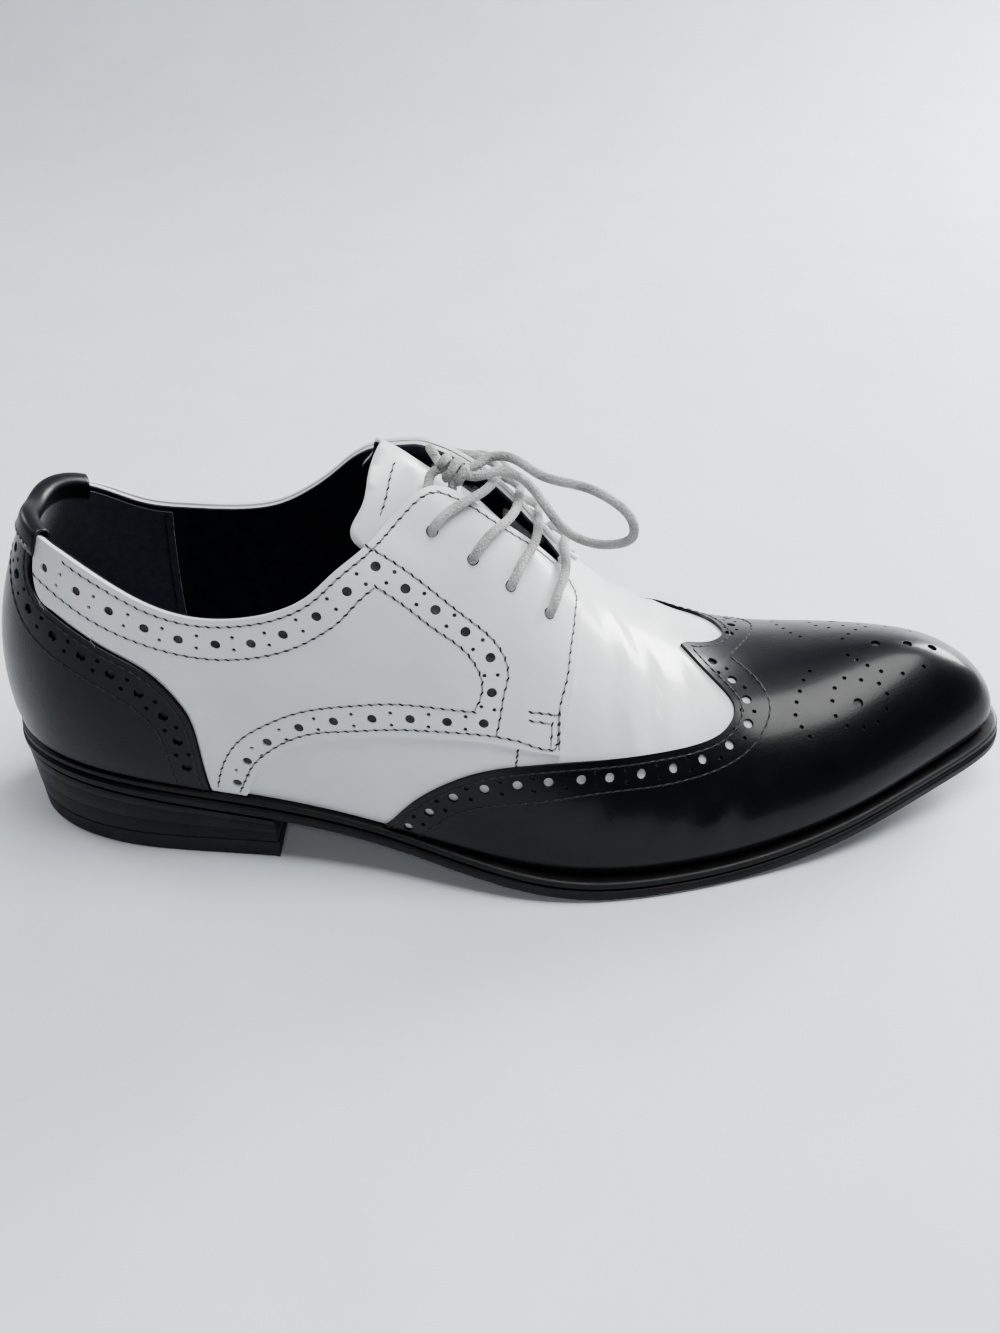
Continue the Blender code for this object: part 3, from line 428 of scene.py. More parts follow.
def knot_route():
    """Turns round the line between the knot's ends, then the standing tip."""
    start, end = np.array(KNOT_FROM), np.array(KNOT_TO)
    axis = unit(end - start)
    side = unit(np.cross(axis, [0, 0, 1]))
    up = np.cross(side, axis)
    count = round(10 * KNOT_TURNS)
    route = []
    for k in range(count + 1):
        turn = math.tau * KNOT_TURNS * k / count
        away = math.cos(turn) * up + math.sin(turn) * side
        route.append(end + (start - end) * k / count + KNOT_RADIUS * away)
    return route + [np.array(row) for row in TIP]


def smooth_route(rows, step):
    """Points at even steps on a smooth curve through the rows."""
    rows = np.array(rows)
    reach = path_reach(rows)
    count = max(2, round(reach[-1] / step))
    places = np.linspace(0, reach[-1], count + 1)
    return np.stack([spline(reach, values)(places) for values in rows.T], axis=-1)


# How finely the sheets are drawn: columns round the last, rows up it, and the edges' step in cells
COLUMNS = 300
ROWS = 40
EDGE_STEP = 0.5
CELLS = np.array([COLUMNS / math.tau, ROWS])
# How near an edge a grid point may lie, in cells, and the least double area of a triangle
GRID_MARGIN = 0.42
LEAST_AREA = 1e-4
SAME_PLACE = 1e-6
# Step in angle or rise for moving a place over the last, and a length that counts as none
NUDGE = 1e-3
TINY = 1e-9

# How round tubes thin out to their ends
TUBE_TAPER = (0.55, 0.9)

# The camera, in metres from the heel end of the last, and in degrees
CAMERA_AT = (0.163003, -0.344083, 0.290825)
CAMERA_TURN, CAMERA_DOWN, CAMERA_ROLL = 2.402, 35.833, -2.434
CAMERA_LENS = 37.51
SENSOR = 36.0

# Punched holes: their radii, how many corners they have, and how far pinholes lie from their row
BIG_HOLE = 0.00152
PINHOLE = 0.00070
EYELET_HOLE = 0.00172
HOLE_SIDES = 16
PINHOLE_SIDES = 9
DISC_SIDES = 12
PIN_SPREAD = 0.00185
NEWTON_STEPS = 5
# Rises that holes, pinholes and offset lines keep to
HOLE_LOW, HOLE_HIGH = 0.002, 0.996
PIN_LOW = 0.015
LINE_LOW, LINE_HIGH = 0.006, 0.998
# Backing discs behind the holes
BACKING_DEPTH = -0.00098
QUARTER_BACKING, PANEL_BACKING, MEDALLION_BACKING = 0.0019, 0.0018, 0.0016

# Stitches: their pitch, the thread's radius, and how far lines lie inside the edges
STITCH = 0.0029
BINDING_STITCH = 0.0022
SEAM_STITCH = 0.0016
THREAD = 0.00025
THREAD_SIDES = 6
COLLAR_MARGIN, FRONT_MARGIN, WING_MARGIN, COUNTER_MARGIN = 0.0019, 0.0022, 0.0021, 0.0020
STITCH_SHAPE = (
    # share of its length, lift and width in thread radii
    (0.08, -0.9, 0.35), (0.22, -0.1, 0.9), (0.5, 0.15, 1.0), (0.78, -0.1, 0.9), (0.92, -0.9, 0.35),
)
# Painted shade of the needle holes, as flat dark patches: half length, half width, lift, slant as shares
# forward and sideways
SHADE_LENGTH, SHADE_WIDTH, SHADE_LIFT = 0.00085, 0.00030, 0.00009
SHADE_FORWARD, SHADE_SIDEWAYS = 0.94, 0.34
SHADE_SIDES = 8

# Rows of large holes, small holes and stitch lines, as (station, rise)
WHITE_HOLES = (
    (0.069, 0.348), (0.107, 0.347), (0.140, 0.336), (0.173, 0.320), (0.204, 0.310), (0.238, 0.313),
    (0.271, 0.332), (0.301, 0.371), (0.332, 0.433), (0.360, 0.508), (0.386, 0.582), (0.415, 0.561),
    (0.444, 0.546), (0.473, 0.534), (0.497, 0.512), (0.497, 0.446), (0.488, 0.378), (0.453, 0.346),
    (0.418, 0.316), (0.382, 0.280), (0.345, 0.238), (0.311, 0.195), (0.279, 0.144), (0.257, 0.092),
    (0.243, 0.035),
)
COLLAR_LOW = (
    (0.058, 0.322), (0.092, 0.319), (0.119, 0.311), (0.160, 0.296), (0.187, 0.287), (0.219, 0.283),
    (0.246, 0.289), (0.279, 0.313), (0.312, 0.356), (0.337, 0.404), (0.354, 0.445), (0.372, 0.502),
    (0.387, 0.542),
)
INNER_BAND = (
    (0.387, 0.542), (0.417, 0.526), (0.447, 0.508), (0.478, 0.490), (0.487, 0.465), (0.479, 0.392),
    (0.454, 0.372), (0.402, 0.330), (0.365, 0.290), (0.314, 0.230), (0.274, 0.172), (0.251, 0.132),
    (0.232, 0.072), (0.222, 0.012),
)
OUTER_BAND = (
    (0.377, 0.618), (0.405, 0.604), (0.449, 0.575), (0.480, 0.560), (0.501, 0.549), (0.511, 0.530),
    (0.514, 0.501), (0.510, 0.465), (0.504, 0.404), (0.499, 0.360),
)
WING_LINE = (
    (0.419, 0.010), (0.445, 0.112), (0.472, 0.176), (0.523, 0.238), (0.564, 0.278), (0.600, 0.314),
    (0.656, 0.366), (0.690, 0.406), (0.727, 0.460), (0.760, 0.528), (0.783, 0.600), (0.804, 0.690),
    (0.816, 0.780), (0.822, 0.870), (0.823, 0.998),
)
WING_HOLES = (
    (0.410, 0.042), (0.432, 0.121), (0.456, 0.189), (0.486, 0.240), (0.518, 0.277), (0.548, 0.307),
    (0.580, 0.336), (0.608, 0.362), (0.640, 0.396), (0.674, 0.437), (0.707, 0.486), (0.741, 0.551),
    (0.772, 0.641), (0.788, 0.755), (0.790, 0.860), (0.785, 0.952),
)
INNER_WING_LAST = ((0.797, 0.850),)
MEDALLION_SIDE = (0.888, 0.589)
MEDALLION_MIDDLE = (0.945, 0.815, 0.690)
MEDALLION_SMALL = (
    (0.904, 0.746), (0.914, 0.702), (0.923, 0.645), (0.918, 0.573), (0.905, 0.500), (0.889, 0.460),
    (0.874, 0.463), (0.861, 0.505), (0.859, 0.570), (0.869, 0.647), (0.884, 0.708), (0.887, 0.851),
    (0.868, 0.806), (0.851, 0.750), (0.837, 0.699), (0.825, 0.639), (0.822, 0.576), (0.823, 0.520),
    (0.950, 0.905), (0.944, 0.845), (0.940, 0.780), (0.940, 0.712), (0.952, 0.650), (0.975, 0.640),
)
COUNTER_LINE = (
    (0.0005, 0.284), (0.019, 0.272), (0.041, 0.232), (0.074, 0.211), (0.110, 0.202), (0.140, 0.187),
    (0.162, 0.163), (0.176, 0.128), (0.181, 0.069), (0.182, 0.010),
)
COUNTER_HOLES = (
    (0.004, 0.340), (0.022, 0.318), (0.033, 0.288), (0.054, 0.258), (0.083, 0.247), (0.112, 0.240),
    (0.139, 0.226), (0.164, 0.202), (0.184, 0.165), (0.194, 0.117), (0.197, 0.060),
)
TONGUE_LINE = ((0.396, 0.900), (0.3945, 0.82), (0.392, 0.744), (0.388, 0.700))
TACKS = (
    ((0.5345, 0.449), (0.5630, 0.474)), ((0.5630, 0.474), (0.5600, 0.388)),
    ((0.5345, 0.431), (0.5550, 0.446)), ((0.5550, 0.446), (0.5520, 0.386)),
)
LOWER_SEAM = ((0.5200, 0.353), (0.5160, 0.300))
# Loose ends of thread at the counter's edge: station, rise
THREAD_ENDS = ((0.074, 0.280), (0.126, 0.266))
# Soft creases of wear in the vamp, the wings and the quarters: troughs and ridges
CREASES = (
    # station, rise, station reach, rise reach, lift
    (0.628, 0.62, 0.010, 0.26, -0.00045), (0.650, 0.70, 0.009, 0.26, 0.00055),
    (0.672, 0.66, 0.009, 0.22, -0.00055), (0.694, 0.78, 0.010, 0.22, 0.00045),
    (0.722, 0.76, 0.010, 0.16, -0.00045), (0.588, 0.22, 0.011, 0.08, -0.00026),
    (0.608, 0.22, 0.010, 0.08, 0.00022), (0.640, 0.20, 0.012, 0.09, -0.00024),
    (0.690, 0.27, 0.014, 0.13, -0.00040), (0.716, 0.30, 0.012, 0.15, 0.00045),
    (0.744, 0.30, 0.014, 0.14, -0.00035), (0.505, 0.30, 0.020, 0.10, -0.00040),
    (0.300, 0.46, 0.030, 0.06, -0.00030), (0.330, 0.20, 0.040, 0.06, -0.00050),
)

# The vamp's lift off the last, and how far it and its lining end under the collar and the throat
VAMP_LIFT = -0.0011
VAMP_THICKNESS = 0.0012
LINING_LIFT = VAMP_LIFT - 0.00122
LINING_THICKNESS = 0.0007
COLLAR_DROP = 0.004
THROAT_DROP = 0.006
THROAT_END_RISE = 0.96
# The suede pocket at the heel: its front, its foot, and how far it ends under the collar
POCKET_FRONT = 0.16
POCKET_FOOT = 0.06
POCKET_DROP = 0.012
POCKET_THICKNESS = 0.0005
# How round the sheets' edges are, on thin hems and on cut panels, and how their shading leans
SOFT_EDGE = 0.00022
CUT_EDGE = 0.0001
RIM_OUT, RIM_UP = 0.9, 0.45
# How creases wander in station as they rise, and how often
CREASE_WAVE = 0.012
CREASE_TURNS = 9
# How far the painted shade on the hole walls reaches round an eyelet, in cells
SHADE_REACH = 1.6
# How far the tongue's white face lies under its depth
TONGUE_SKIN = 0.0006

# Binding: its skin, the thinned lip, and the fold over the collar
BINDING_SKIN = BINDING_THICKNESS * 0.6
BINDING_LIP = 0.35
BINDING_SHARES = (1.0, 0.75, 0.5, 0.25, 0.0)
FOLD_STEPS = 8
FOLD_ROUNDNESS = 0.62
FOLD_CLEAR = 0.0002
BINDING_WALL = 0.0006

# How far the sole's edge swells past the welt, and how many angles the CAD draws it with
SOLE_SWELL = SOLE_THICKNESS * 0.06
CAD_ANGLES = 76
SOLE_ANGLES = 320
HEEL_ANGLES = 160
# Where the welt starts to widen, and over what share of the length
WELT_WIDENS = (0.35, 0.25)
WELT_SECTION = (
    # out past the reach, down, down as a share of the thickness
    (-0.0012, 0.0, 0.0), (-0.0004, 0.00012, 0.0), (-0.00008, 0.00042, 0.0), (0.0, 0.0, 0.5),
    (-0.00012, 0.0, 0.82), (-0.00075, 0.0, 1.0),
)
WELT_HIDDEN = -0.0040
INSOLE_SECTION = ((0.0075, 0.0024), (0.0045, 0.0025), (0.0040, 0.0020), (0.0038, 0.0))
HEEL_LIFTS = ((0.0, 0.22), (0.22, 0.61), (0.61, 1.0))
LIFT_SECTION = ((0.0, 0.00010), (0.05, 0.0), (0.95, 0.0), (1.0, 0.00010))
SHARP_ANGLE = 38


def welt_reach(angles):
    share = np.clip((station_of(angles) - WELT_WIDENS[0]) / WELT_WIDENS[1], 0, 1)
    wide = share * share * (3 - 2 * share)
    return WELT_REACH_HEEL + (WELT_REACH_FOREPART - WELT_REACH_HEEL) * wide


def even_angles(count):
    return -math.pi + (np.arange(count) + 0.5) * math.tau / count


def find_shift():
    """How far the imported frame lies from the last's own heel end, read from the outsole's box."""
    angles = even_angles(CAD_ANGLES)
    ring = feather_ring(angles, welt_reach(angles) + SOLE_SWELL, 0.0)
    low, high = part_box("outsole")
    middle = (ring.min(axis=0) + ring.max(axis=0)) / 2
    return np.array([middle[0] - (low[0] + high[0]) / 2, middle[1] - (low[1] + high[1]) / 2, 0.0])


SHIFT = find_shift()


# Materials


class Nodes:
    """A material's node tree, with a short way to add and join nodes."""

    def __init__(self, name):
        self.material = bpy.data.materials.new(name)
        self.material.use_nodes = True
        self.tree = self.material.node_tree
        self.shader = self.tree.nodes["Principled BSDF"]
        self.place = self.add("ShaderNodeTexCoord").outputs["Object"]

    def add(self, kind, inputs=None, **settings):
        node = self.tree.nodes.new(kind)
        for key, value in settings.items():
            setattr(node, key, value)
        for key, value in (inputs or {}).items():
            if isinstance(value, bpy.types.NodeSocket):
                self.tree.links.new(value, node.inputs[key])
            else:
                node.inputs[key].default_value = value
        return node

    def noise(self, scale, detail=3.0, roughness=0.55):
        inputs = {"Vector": self.place, "Scale": scale, "Detail": detail, "Roughness": roughness}
        return self.add("ShaderNodeTexNoise", inputs).outputs["Fac"]

    def cells(self, scale):
        inputs = {"Vector": self.place, "Scale": scale}
        return self.add("ShaderNodeTexVoronoi", inputs).outputs["Distance"]

    def ramp(self, factor, low, high, start, end):
        node = self.add("ShaderNodeValToRGB", {"Fac": factor})
        first, last = node.color_ramp.elements
        first.position, last.position = start, end
        first.color, last.color = (*low, 1), (*high, 1)
        return node.outputs["Color"]

    def spread(self, factor, low, high):
        inputs = {"Value": factor, "To Min": low, "To Max": high}
        return self.add("ShaderNodeMapRange", inputs).outputs["Result"]

    def multiply(self, color, other):
        inputs = {0: 1.0, 6: color, 7: other}
        return self.add("ShaderNodeMix", inputs, data_type="RGBA", blend_type="MULTIPLY").outputs[2]

    def bump(self, height, strength, distance, under=None):
        inputs = {"Height": height, "Strength": strength, "Distance": distance}
        if under is not None:
            inputs["Normal"] = under
        return self.add("ShaderNodeBump", inputs).outputs["Normal"]

    def finish(self, color, roughness, normal, **constants):
        for key, value in (("Base Color", color), ("Roughness", roughness), ("Normal", normal)):
            self.tree.links.new(value, self.shader.inputs[key])
        for key, value in constants.items():
            self.shader.inputs[key.replace("_", " ")].default_value = value
        return self.material


def leather_material(name, dark, light, rough, coat, grain, coat_rough, shine=0.5):
    """Smooth finished leather: faint clouds of colour, a fine pebble and pores."""
    nodes = Nodes(name)
    color = nodes.ramp(nodes.noise(38.0, 4.0), dark, light, 0.30, 0.72)
    roughness = nodes.spread(nodes.noise(120.0, 5.0), rough - 0.06, rough + 0.09)
    pebble = nodes.bump(nodes.cells(1300.0), grain, 0.00014)
    waves = nodes.bump(nodes.noise(55.0, 3.0), 0.25, 0.0006, pebble)
    scuffs = nodes.ramp(nodes.noise(170.0, 8.0, 0.75), (1.0, 1.0, 1.0), (0.80, 0.80, 0.79), 0.68, 0.76)
    coats = {"Coat_Weight": coat, "Coat_Roughness": coat_rough, "Specular_IOR_Level": shine}
    return nodes.finish(nodes.multiply(color, scuffs), roughness, waves, **coats)


def plain_material(name, dark, light, rough, scale, strength, distance, sheen=0.0, shine=0.4):
    """A dull surface with fine noise in colour and height."""
    nodes = Nodes(name)
    color = nodes.ramp(nodes.noise(scale * 0.3, 4.0), dark, light, 0.32, 0.7)
    roughness = nodes.spread(nodes.noise(scale * 0.6), rough - 0.08, rough + 0.08)
    normal = nodes.bump(nodes.noise(scale, 6.0, 0.7), strength, distance)
    return nodes.finish(color, roughness, normal, Sheen_Weight=sheen, Specular_IOR_Level=shine)


def lace_material(name):
    """Waxed cotton cord: a fine braid, loose fibre and a few yellowed marks."""
    nodes = Nodes(name)
    color = nodes.ramp(nodes.noise(140.0, 5.0), (0.30, 0.30, 0.295), (0.54, 0.54, 0.53), 0.3, 0.68)
    marks = nodes.ramp(nodes.noise(34.0, 2.0), (1.0, 1.0, 1.0), (0.82, 0.76, 0.62), 0.66, 0.78)
    braid = nodes.bump(nodes.cells(1500.0), 1.0, 0.00045)
    fuzz = nodes.bump(nodes.noise(2200.0, 6.0, 0.85), 0.8, 0.00035, braid)
    roughness = nodes.spread(nodes.noise(500.0), 0.62, 0.86)
    return nodes.finish(nodes.multiply(color, marks), roughness, fuzz, Sheen_Weight=0.35)


# Leather: dark and light colour, roughness, coat, grain, coat roughness, shine
WHITE = leather_material("white_leather", (0.655, 0.67, 0.68), (0.75, 0.76, 0.765), 0.32, 0.35, 0.10, 0.14)
BLACK = leather_material(
    "black_leather", (0.0015, 0.0022, 0.0026), (0.004, 0.0052, 0.0056), 0.34, 0.28, 0.18, 0.17, 0.20
)
# Dull surfaces: dark and light colour, roughness, noise scale, bump strength and depth, sheen, shine
LINING, BINDING, NAVY, BOARD, EDGE, TREAD, *OTHERS = (
    plain_material(*row)
    for row in (
        ("lining_leather", (0.004, 0.005, 0.010), (0.014, 0.017, 0.028), 0.55, 700.0, 0.4, 0.0003),
        ("binding_leather", (0.003, 0.0035, 0.005), (0.009, 0.010, 0.013), 0.36, 900.0, 0.3, 0.0002),
        ("heel_lining", (0.014, 0.019, 0.034), (0.032, 0.043, 0.070), 0.75, 1400.0, 0.6, 0.0003, 0.4),
        ("insole_leather", (0.010, 0.011, 0.016), (0.030, 0.030, 0.036), 0.6, 600.0, 0.5, 0.0003),
        ("sole_edge", (0.004, 0.004, 0.005), (0.010, 0.010, 0.011), 0.42, 420.0, 0.35, 0.0003, 0.0, 0.25),
        ("sole_tread", (0.006, 0.006, 0.006), (0.018, 0.018, 0.018), 0.62, 500.0, 0.5, 0.0004),
        ("dark_backing", (0.012, 0.013, 0.015), (0.10, 0.103, 0.108), 0.5, 900.0, 0.4, 0.0003),
        ("pale_backing", (0.42, 0.44, 0.45), (0.66, 0.68, 0.69), 0.5, 900.0, 0.3, 0.0002),
        ("grey_thread", (0.16, 0.165, 0.17), (0.36, 0.37, 0.38), 0.55, 3000.0, 0.6, 0.0002),
        ("dark_thread", (0.008, 0.009, 0.011), (0.035, 0.037, 0.041), 0.45, 3000.0, 0.6, 0.0002),
        # painted shade: this near-black stands for the shade inside the needle holes and on the eyelet walls
        ("painted_hole_shade", (0.010, 0.011, 0.012), (0.03, 0.03, 0.032), 0.6, 1500.0, 0.3, 0.0002),
        ("lace_tip", (0.36, 0.36, 0.355), (0.52, 0.52, 0.51), 0.28, 500.0, 0.15, 0.0002),
    )
)
UNDER_DARK, UNDER_WHITE, GREY_THREAD, DARK_THREAD, HOLE_SHADE, SLEEVE = OTHERS
WAX = lace_material("lace_cord")


# Meshes


def made_mesh(name, points, faces, material, normals=None, slots=None, second=None):
    """An object from points beside the last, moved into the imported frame."""
    mesh = bpy.data.meshes.new(name)
    mesh.from_pydata([tuple(point) for point in np.asarray(points) - SHIFT], [], faces)
    for used in (material, second):
        if used:
            mesh.materials.append(used)
    if slots is not None:
        mesh.polygons.foreach_set("material_index", np.asarray(slots, dtype=np.int32))
    mesh.polygons.foreach_set("use_smooth", np.ones(len(mesh.polygons), dtype=bool))
    if normals is not None:
        mesh.normals_split_custom_set_from_vertices([tuple(normal) for normal in normals])
    piece = bpy.data.objects.new(name, mesh)
    bpy.context.scene.collection.objects.link(piece)
    return piece


def dress(piece, slot, *nodes):
    """Rides the piece and lets it stand for the CAD nodes; the slot is not used."""
    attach(piece, "root")
    if nodes:
        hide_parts(*nodes)


def angle_at(station, side=1):
    """A station's signed angle: over nought on the outer side, 1, and under it on the inner side, -1."""
    return side * float(angle_of(station))


def on_angles(rows, side=1):
    """Rows of (station, rise) as (angle, rise) on one side."""
    return [(angle_at(station, side), rise) for station, rise in rows]


def side_rows(table, side):
    """A table's stations with the rise of one side."""
    return [(row[0], row[1 if side == 1 else 2]) for row in table]


def rounded(rows, side=1):
    """A smooth run through rows of (station, rise) as (angle, rise), with points close together."""
    scaled = np.array(on_angles(rows, side)) * CELLS
    run = smooth_route(scaled, EDGE_STEP)
    run[0], run[-1] = scaled[0], scaled[-1]
    return [tuple(place) for place in run / CELLS]


def straight(start, end):
    start, end = np.array(start), np.array(end)
    count = max(1, round(np.linalg.norm((end - start) * CELLS) / EDGE_STEP))
    return [tuple(start + (end - start) * k / count) for k in range(count + 1)]


def crest_run(first, last):
    """Places along the crest from one angle to another, on the grid's columns so that both sides agree."""
    step = math.tau / COLUMNS
    low, high = min(first, last) + 0.3 * step, max(first, last) - 0.3 * step
    inside = [k * step for k in range(-COLUMNS, 2 * COLUMNS) if low < k * step < high]
    if last < first:
        inside.reverse()
    return [(angle, 1.0) for angle in (first, *inside, last)]


def foot_run(first, last):
    """Places along the feather line, one for each of the grid's columns."""
    count = round((last - first) / (math.tau / COLUMNS))
    return [(first + (last - first) * k / count, 0.0) for k in range(count + 1)]


def turned(run):
    """A run one whole turn further round the last."""
    return [(math.tau + angle, rise) for angle, rise in run]


def joined(*runs):
    """One closed loop through the runs, without places that repeat."""
    loop = []
    for run in runs:
        for place in run:
            if not loop or math.dist(place, loop[-1]) > SAME_PLACE:
                loop.append(place)
    if math.dist(loop[0], loop[-1]) < SAME_PLACE:
        loop.pop()
    return loop


def ring_about(angle, rise, radius, turns):
    """A round hole's points on the last about one place, found by a few steps of Newton's method."""
    place = form(angle, rise)
    right = unit(form(angle + NUDGE, rise) - place)
    up = form(angle, rise + NUDGE) - place
    up = unit(up - right * (up @ right))
    axes = np.stack([right, up], axis=-1)
    turn = math.tau * np.arange(turns) / turns
    wanted = radius * np.stack([np.cos(turn), np.sin(turn)], axis=-1)
    ring = np.tile([float(angle), float(rise)], (turns, 1))
    for _ in range(NEWTON_STEPS):
        here = form(ring[:, 0], ring[:, 1])
        along = (form(ring[:, 0] + NUDGE, ring[:, 1]) - here) @ axes / NUDGE
        upward = (here - form(ring[:, 0], ring[:, 1] - NUDGE)) @ axes / NUDGE
        short = wanted - (here - place) @ axes
        ring += np.linalg.solve(np.stack([along, upward], axis=-1), short[:, :, None])[:, :, 0]
        ring[:, 1] = np.clip(ring[:, 1], HOLE_LOW, HOLE_HIGH)
    return [tuple(point) for point in ring]


def punched(large, small):
    holes = [ring_about(*place, BIG_HOLE, HOLE_SIDES) for place in large]
    return holes + [ring_about(*place, PINHOLE, PINHOLE_SIDES) for place in small]


def within(points, loops):
    """Whether each point is inside an odd number of the loops."""
    found = np.zeros(len(points), bool)
    x, y = points[:, 0], points[:, 1]
    for corners in loops:
        for (ax, ay), (bx, by) in zip(corners, np.roll(corners, -1, axis=0)):
            if ay != by:
                found ^= ((ay > y) != (by > y)) & (x < (bx - ax) * (y - ay) / (by - ay) + ax)
    return found


def far_from(points, loops, least):
    """Whether each point is at least that far, under one cell, from every loop's corners."""
    cells = {}
    for corner in np.concatenate(loops):
        cells.setdefault((int(corner[0] // 1), int(corner[1] // 1)), []).append(corner)
    around = [(across, along) for across in (-1, 0, 1) for along in (-1, 0, 1)]
    kept = []
    for x, y in points:
        near = [corner for dx, dy in around for corner in cells.get((int(x // 1) + dx, int(y // 1) + dy), ())]
        kept.append(all(math.hypot(x - corner[0], y - corner[1]) > least for corner in near))
    return np.array(kept, bool)


def cut_sheet(loops, holes):
    """Triangles that fill the loops but not the holes, with corners as (angle, rise)."""
    rings = [np.array(loop) * CELLS for loop in [*loops, *holes]]
    low = np.floor(min(ring[:, 0].min() for ring in rings))
    high = np.ceil(max(ring[:, 0].max() for ring in rings))
    grid = np.array([(c, r) for c in np.arange(low, high + 1) for r in range(ROWS + 1)], float)
    grid = grid[within(grid, rings)]
    grid = grid[far_from(grid, rings, GRID_MARGIN)]
    points, edges = [], []
    for ring in rings:
        first, count = len(points), len(ring)
        edges += [(first + k, first + (k + 1) % count) for k in range(count)]
        points += [tuple(place) for place in ring]
    points += [tuple(place) for place in grid]
    made = delaunay_2d_cdt([Vector(place) for place in points], edges, [], 0, 1e-5)
    corners = np.array([points[ids[0]] if ids else tuple(found) for found, ids in zip(made[0], made[3])])
    faces = np.array([tuple(face) for face in made[2]])
    a, b, c = np.swapaxes(corners[faces], 0, 1)
    wide = (b - a)[:, 0] * (c - a)[:, 1] - (b - a)[:, 1] * (c - a)[:, 0] > LEAST_AREA
    faces = faces[wide & within((a + b + c) / 3, rings)]
    return welded(corners / CELLS, faces)


def welded(places, faces):
    """Angles, rises and faces, with the corners joined where both sides meet on the crest."""
    turned_back, rise = places[:, 0] % math.tau, places[:, 1]
    folded = np.minimum(turned_back, math.tau - turned_back)
    turned_back = np.where(rise > 1 - TINY, folded, turned_back)
    turned_back = np.where(turned_back > math.tau - TINY, 0, turned_back)
    keys = np.round(np.stack([turned_back, rise], axis=-1), 6)
    _, first, merged = np.unique(keys, axis=0, return_index=True, return_inverse=True)
    a, b, c = merged.reshape(-1)[faces].T
    whole = (a != b) & (b != c) & (a != c)
    return *places[first].T, np.stack([a, b, c], axis=-1)[whole]


def rim_of(faces):
    """Edges that only one face has, in that face's direction."""
    sides = {(int(a), int(b)) for face in faces for a, b in zip(face, np.roll(face, -1))}
    return sorted((a, b) for a, b in sides if (b, a) not in sides)


def both_faces(faces, count):
    """The upper faces, and the lower ones with their corners counted on and turned round."""
    rows = [tuple(int(corner) for corner in face) for face in faces]
    return rows + [tuple(corner + count for corner in row[::-1]) for row in rows]


def creased(angle, rise, base):
    """The lift of a sheet with the creases of wear added."""
    station = station_of(angle)
    lift = np.full(np.shape(angle), float(base))
    for at, height, wide, tall, depth in CREASES:
        bend = at + CREASE_WAVE * np.sin(CREASE_TURNS * (rise - height))
        lift += depth * np.exp(-(((station - bend) / wide) ** 2) - ((rise - height) / tall) ** 2)
    return lift


def surface(angle, rise, base):
    """Points and normals of the lifted, creased last."""

    def at(around, height):
        return on_last(around, height, creased(around, height, base))

    step = 1.5 * NUDGE
    inside = np.clip(rise, 0.03, CREST_ZONE)
    along = at(angle + step, inside) - at(angle - step, inside)
    normal = unit(np.cross(along, at(angle, inside + step) - at(angle, inside - step)))
    share = np.clip((rise - 0.94) / 0.045, 0, 1)[:, None]
    return at(angle, rise), unit(normal * (1 - share) + facing_out(angle, rise) * share)


def sheet(name, loop, base, thickness, material, holes=(), edge=SOFT_EDGE, rim_shade_material=None, dark=()):
    """A sheet over the last with a rounded cut edge and punched holes, its rim walls painted dark as shade
    near some places.
    """
    angle, rise, faces = cut_sheet([loop], holes)
    top, normal = surface(angle, rise, base)
    low = on_last(angle, rise, creased(angle, rise, base - thickness))
    count = len(angle)
    rim = rim_of(faces)
    outward = np.zeros((count, 3))
    for a, b in rim:
        across = np.cross(top[b] - top[a], normal[a] + normal[b])
        across /= max(np.linalg.norm(across), TINY)
        outward[a] += across
        outward[b] += across
    on_rim = sorted({corner for pair in rim for corner in pair})
    index = {corner: k for k, corner in enumerate(on_rim)}
    away = outward[on_rim]
    away /= np.maximum(np.linalg.norm(away, axis=1, keepdims=True), TINY)
    middle = top[on_rim] + (away - normal[on_rim]) * edge
    foot = low[on_rim] + away * edge
    normals = unit(np.concatenate([normal, -normal, away * RIM_OUT + normal[on_rim] * RIM_UP, away]))
    rows = both_faces(faces, count)
    slots = [0] * len(rows)
    for a, b in rim:
        middle_a, middle_b = 2 * count + index[a], 2 * count + index[b]
        foot_a, foot_b = middle_a + len(on_rim), middle_b + len(on_rim)
        rows += [(b, a, middle_a, middle_b), (middle_b, middle_a, foot_a, foot_b)]
        rows.append((foot_b, foot_a, a + count, b + count))
        # painted shade: rim walls near the given places take the dark second material
        from_here = [np.linalg.norm((np.array([angle[a], rise[a]]) - place) * CELLS) for place in dark]
        slots += [int(any(reach < SHADE_REACH for reach in from_here))] * 3
    points = np.concatenate([top, low, middle, foot])
    return made_mesh(name, points, rows, material, normals, slots, rim_shade_material)


def discs(name, places, radius, material, base=BACKING_DEPTH, turns=DISC_SIDES):
    """Small flat discs just under the punched holes."""
    points, faces = [], []
    for angle, rise in places:
        ring = np.array(ring_about(angle, rise, radius, turns))
        faces.append(tuple(range(len(points), len(points) + turns)))
        points += list(on_last(ring[:, 0], ring[:, 1], np.full(turns, base)))
    return made_mesh(name, points, faces, material)


def moved(angle, rise, shift, upward=NUDGE):
    """A place on the last after a small shift in space, its slope measured up or down from there."""
    place = form(angle, rise)
    slopes = [(form(angle + NUDGE, rise) - place) / NUDGE, (form(angle, rise + upward) - place) / upward]
    turn, climb = np.linalg.lstsq(np.stack(slopes, axis=-1), shift, rcond=None)[0]
    return angle + turn, rise + climb


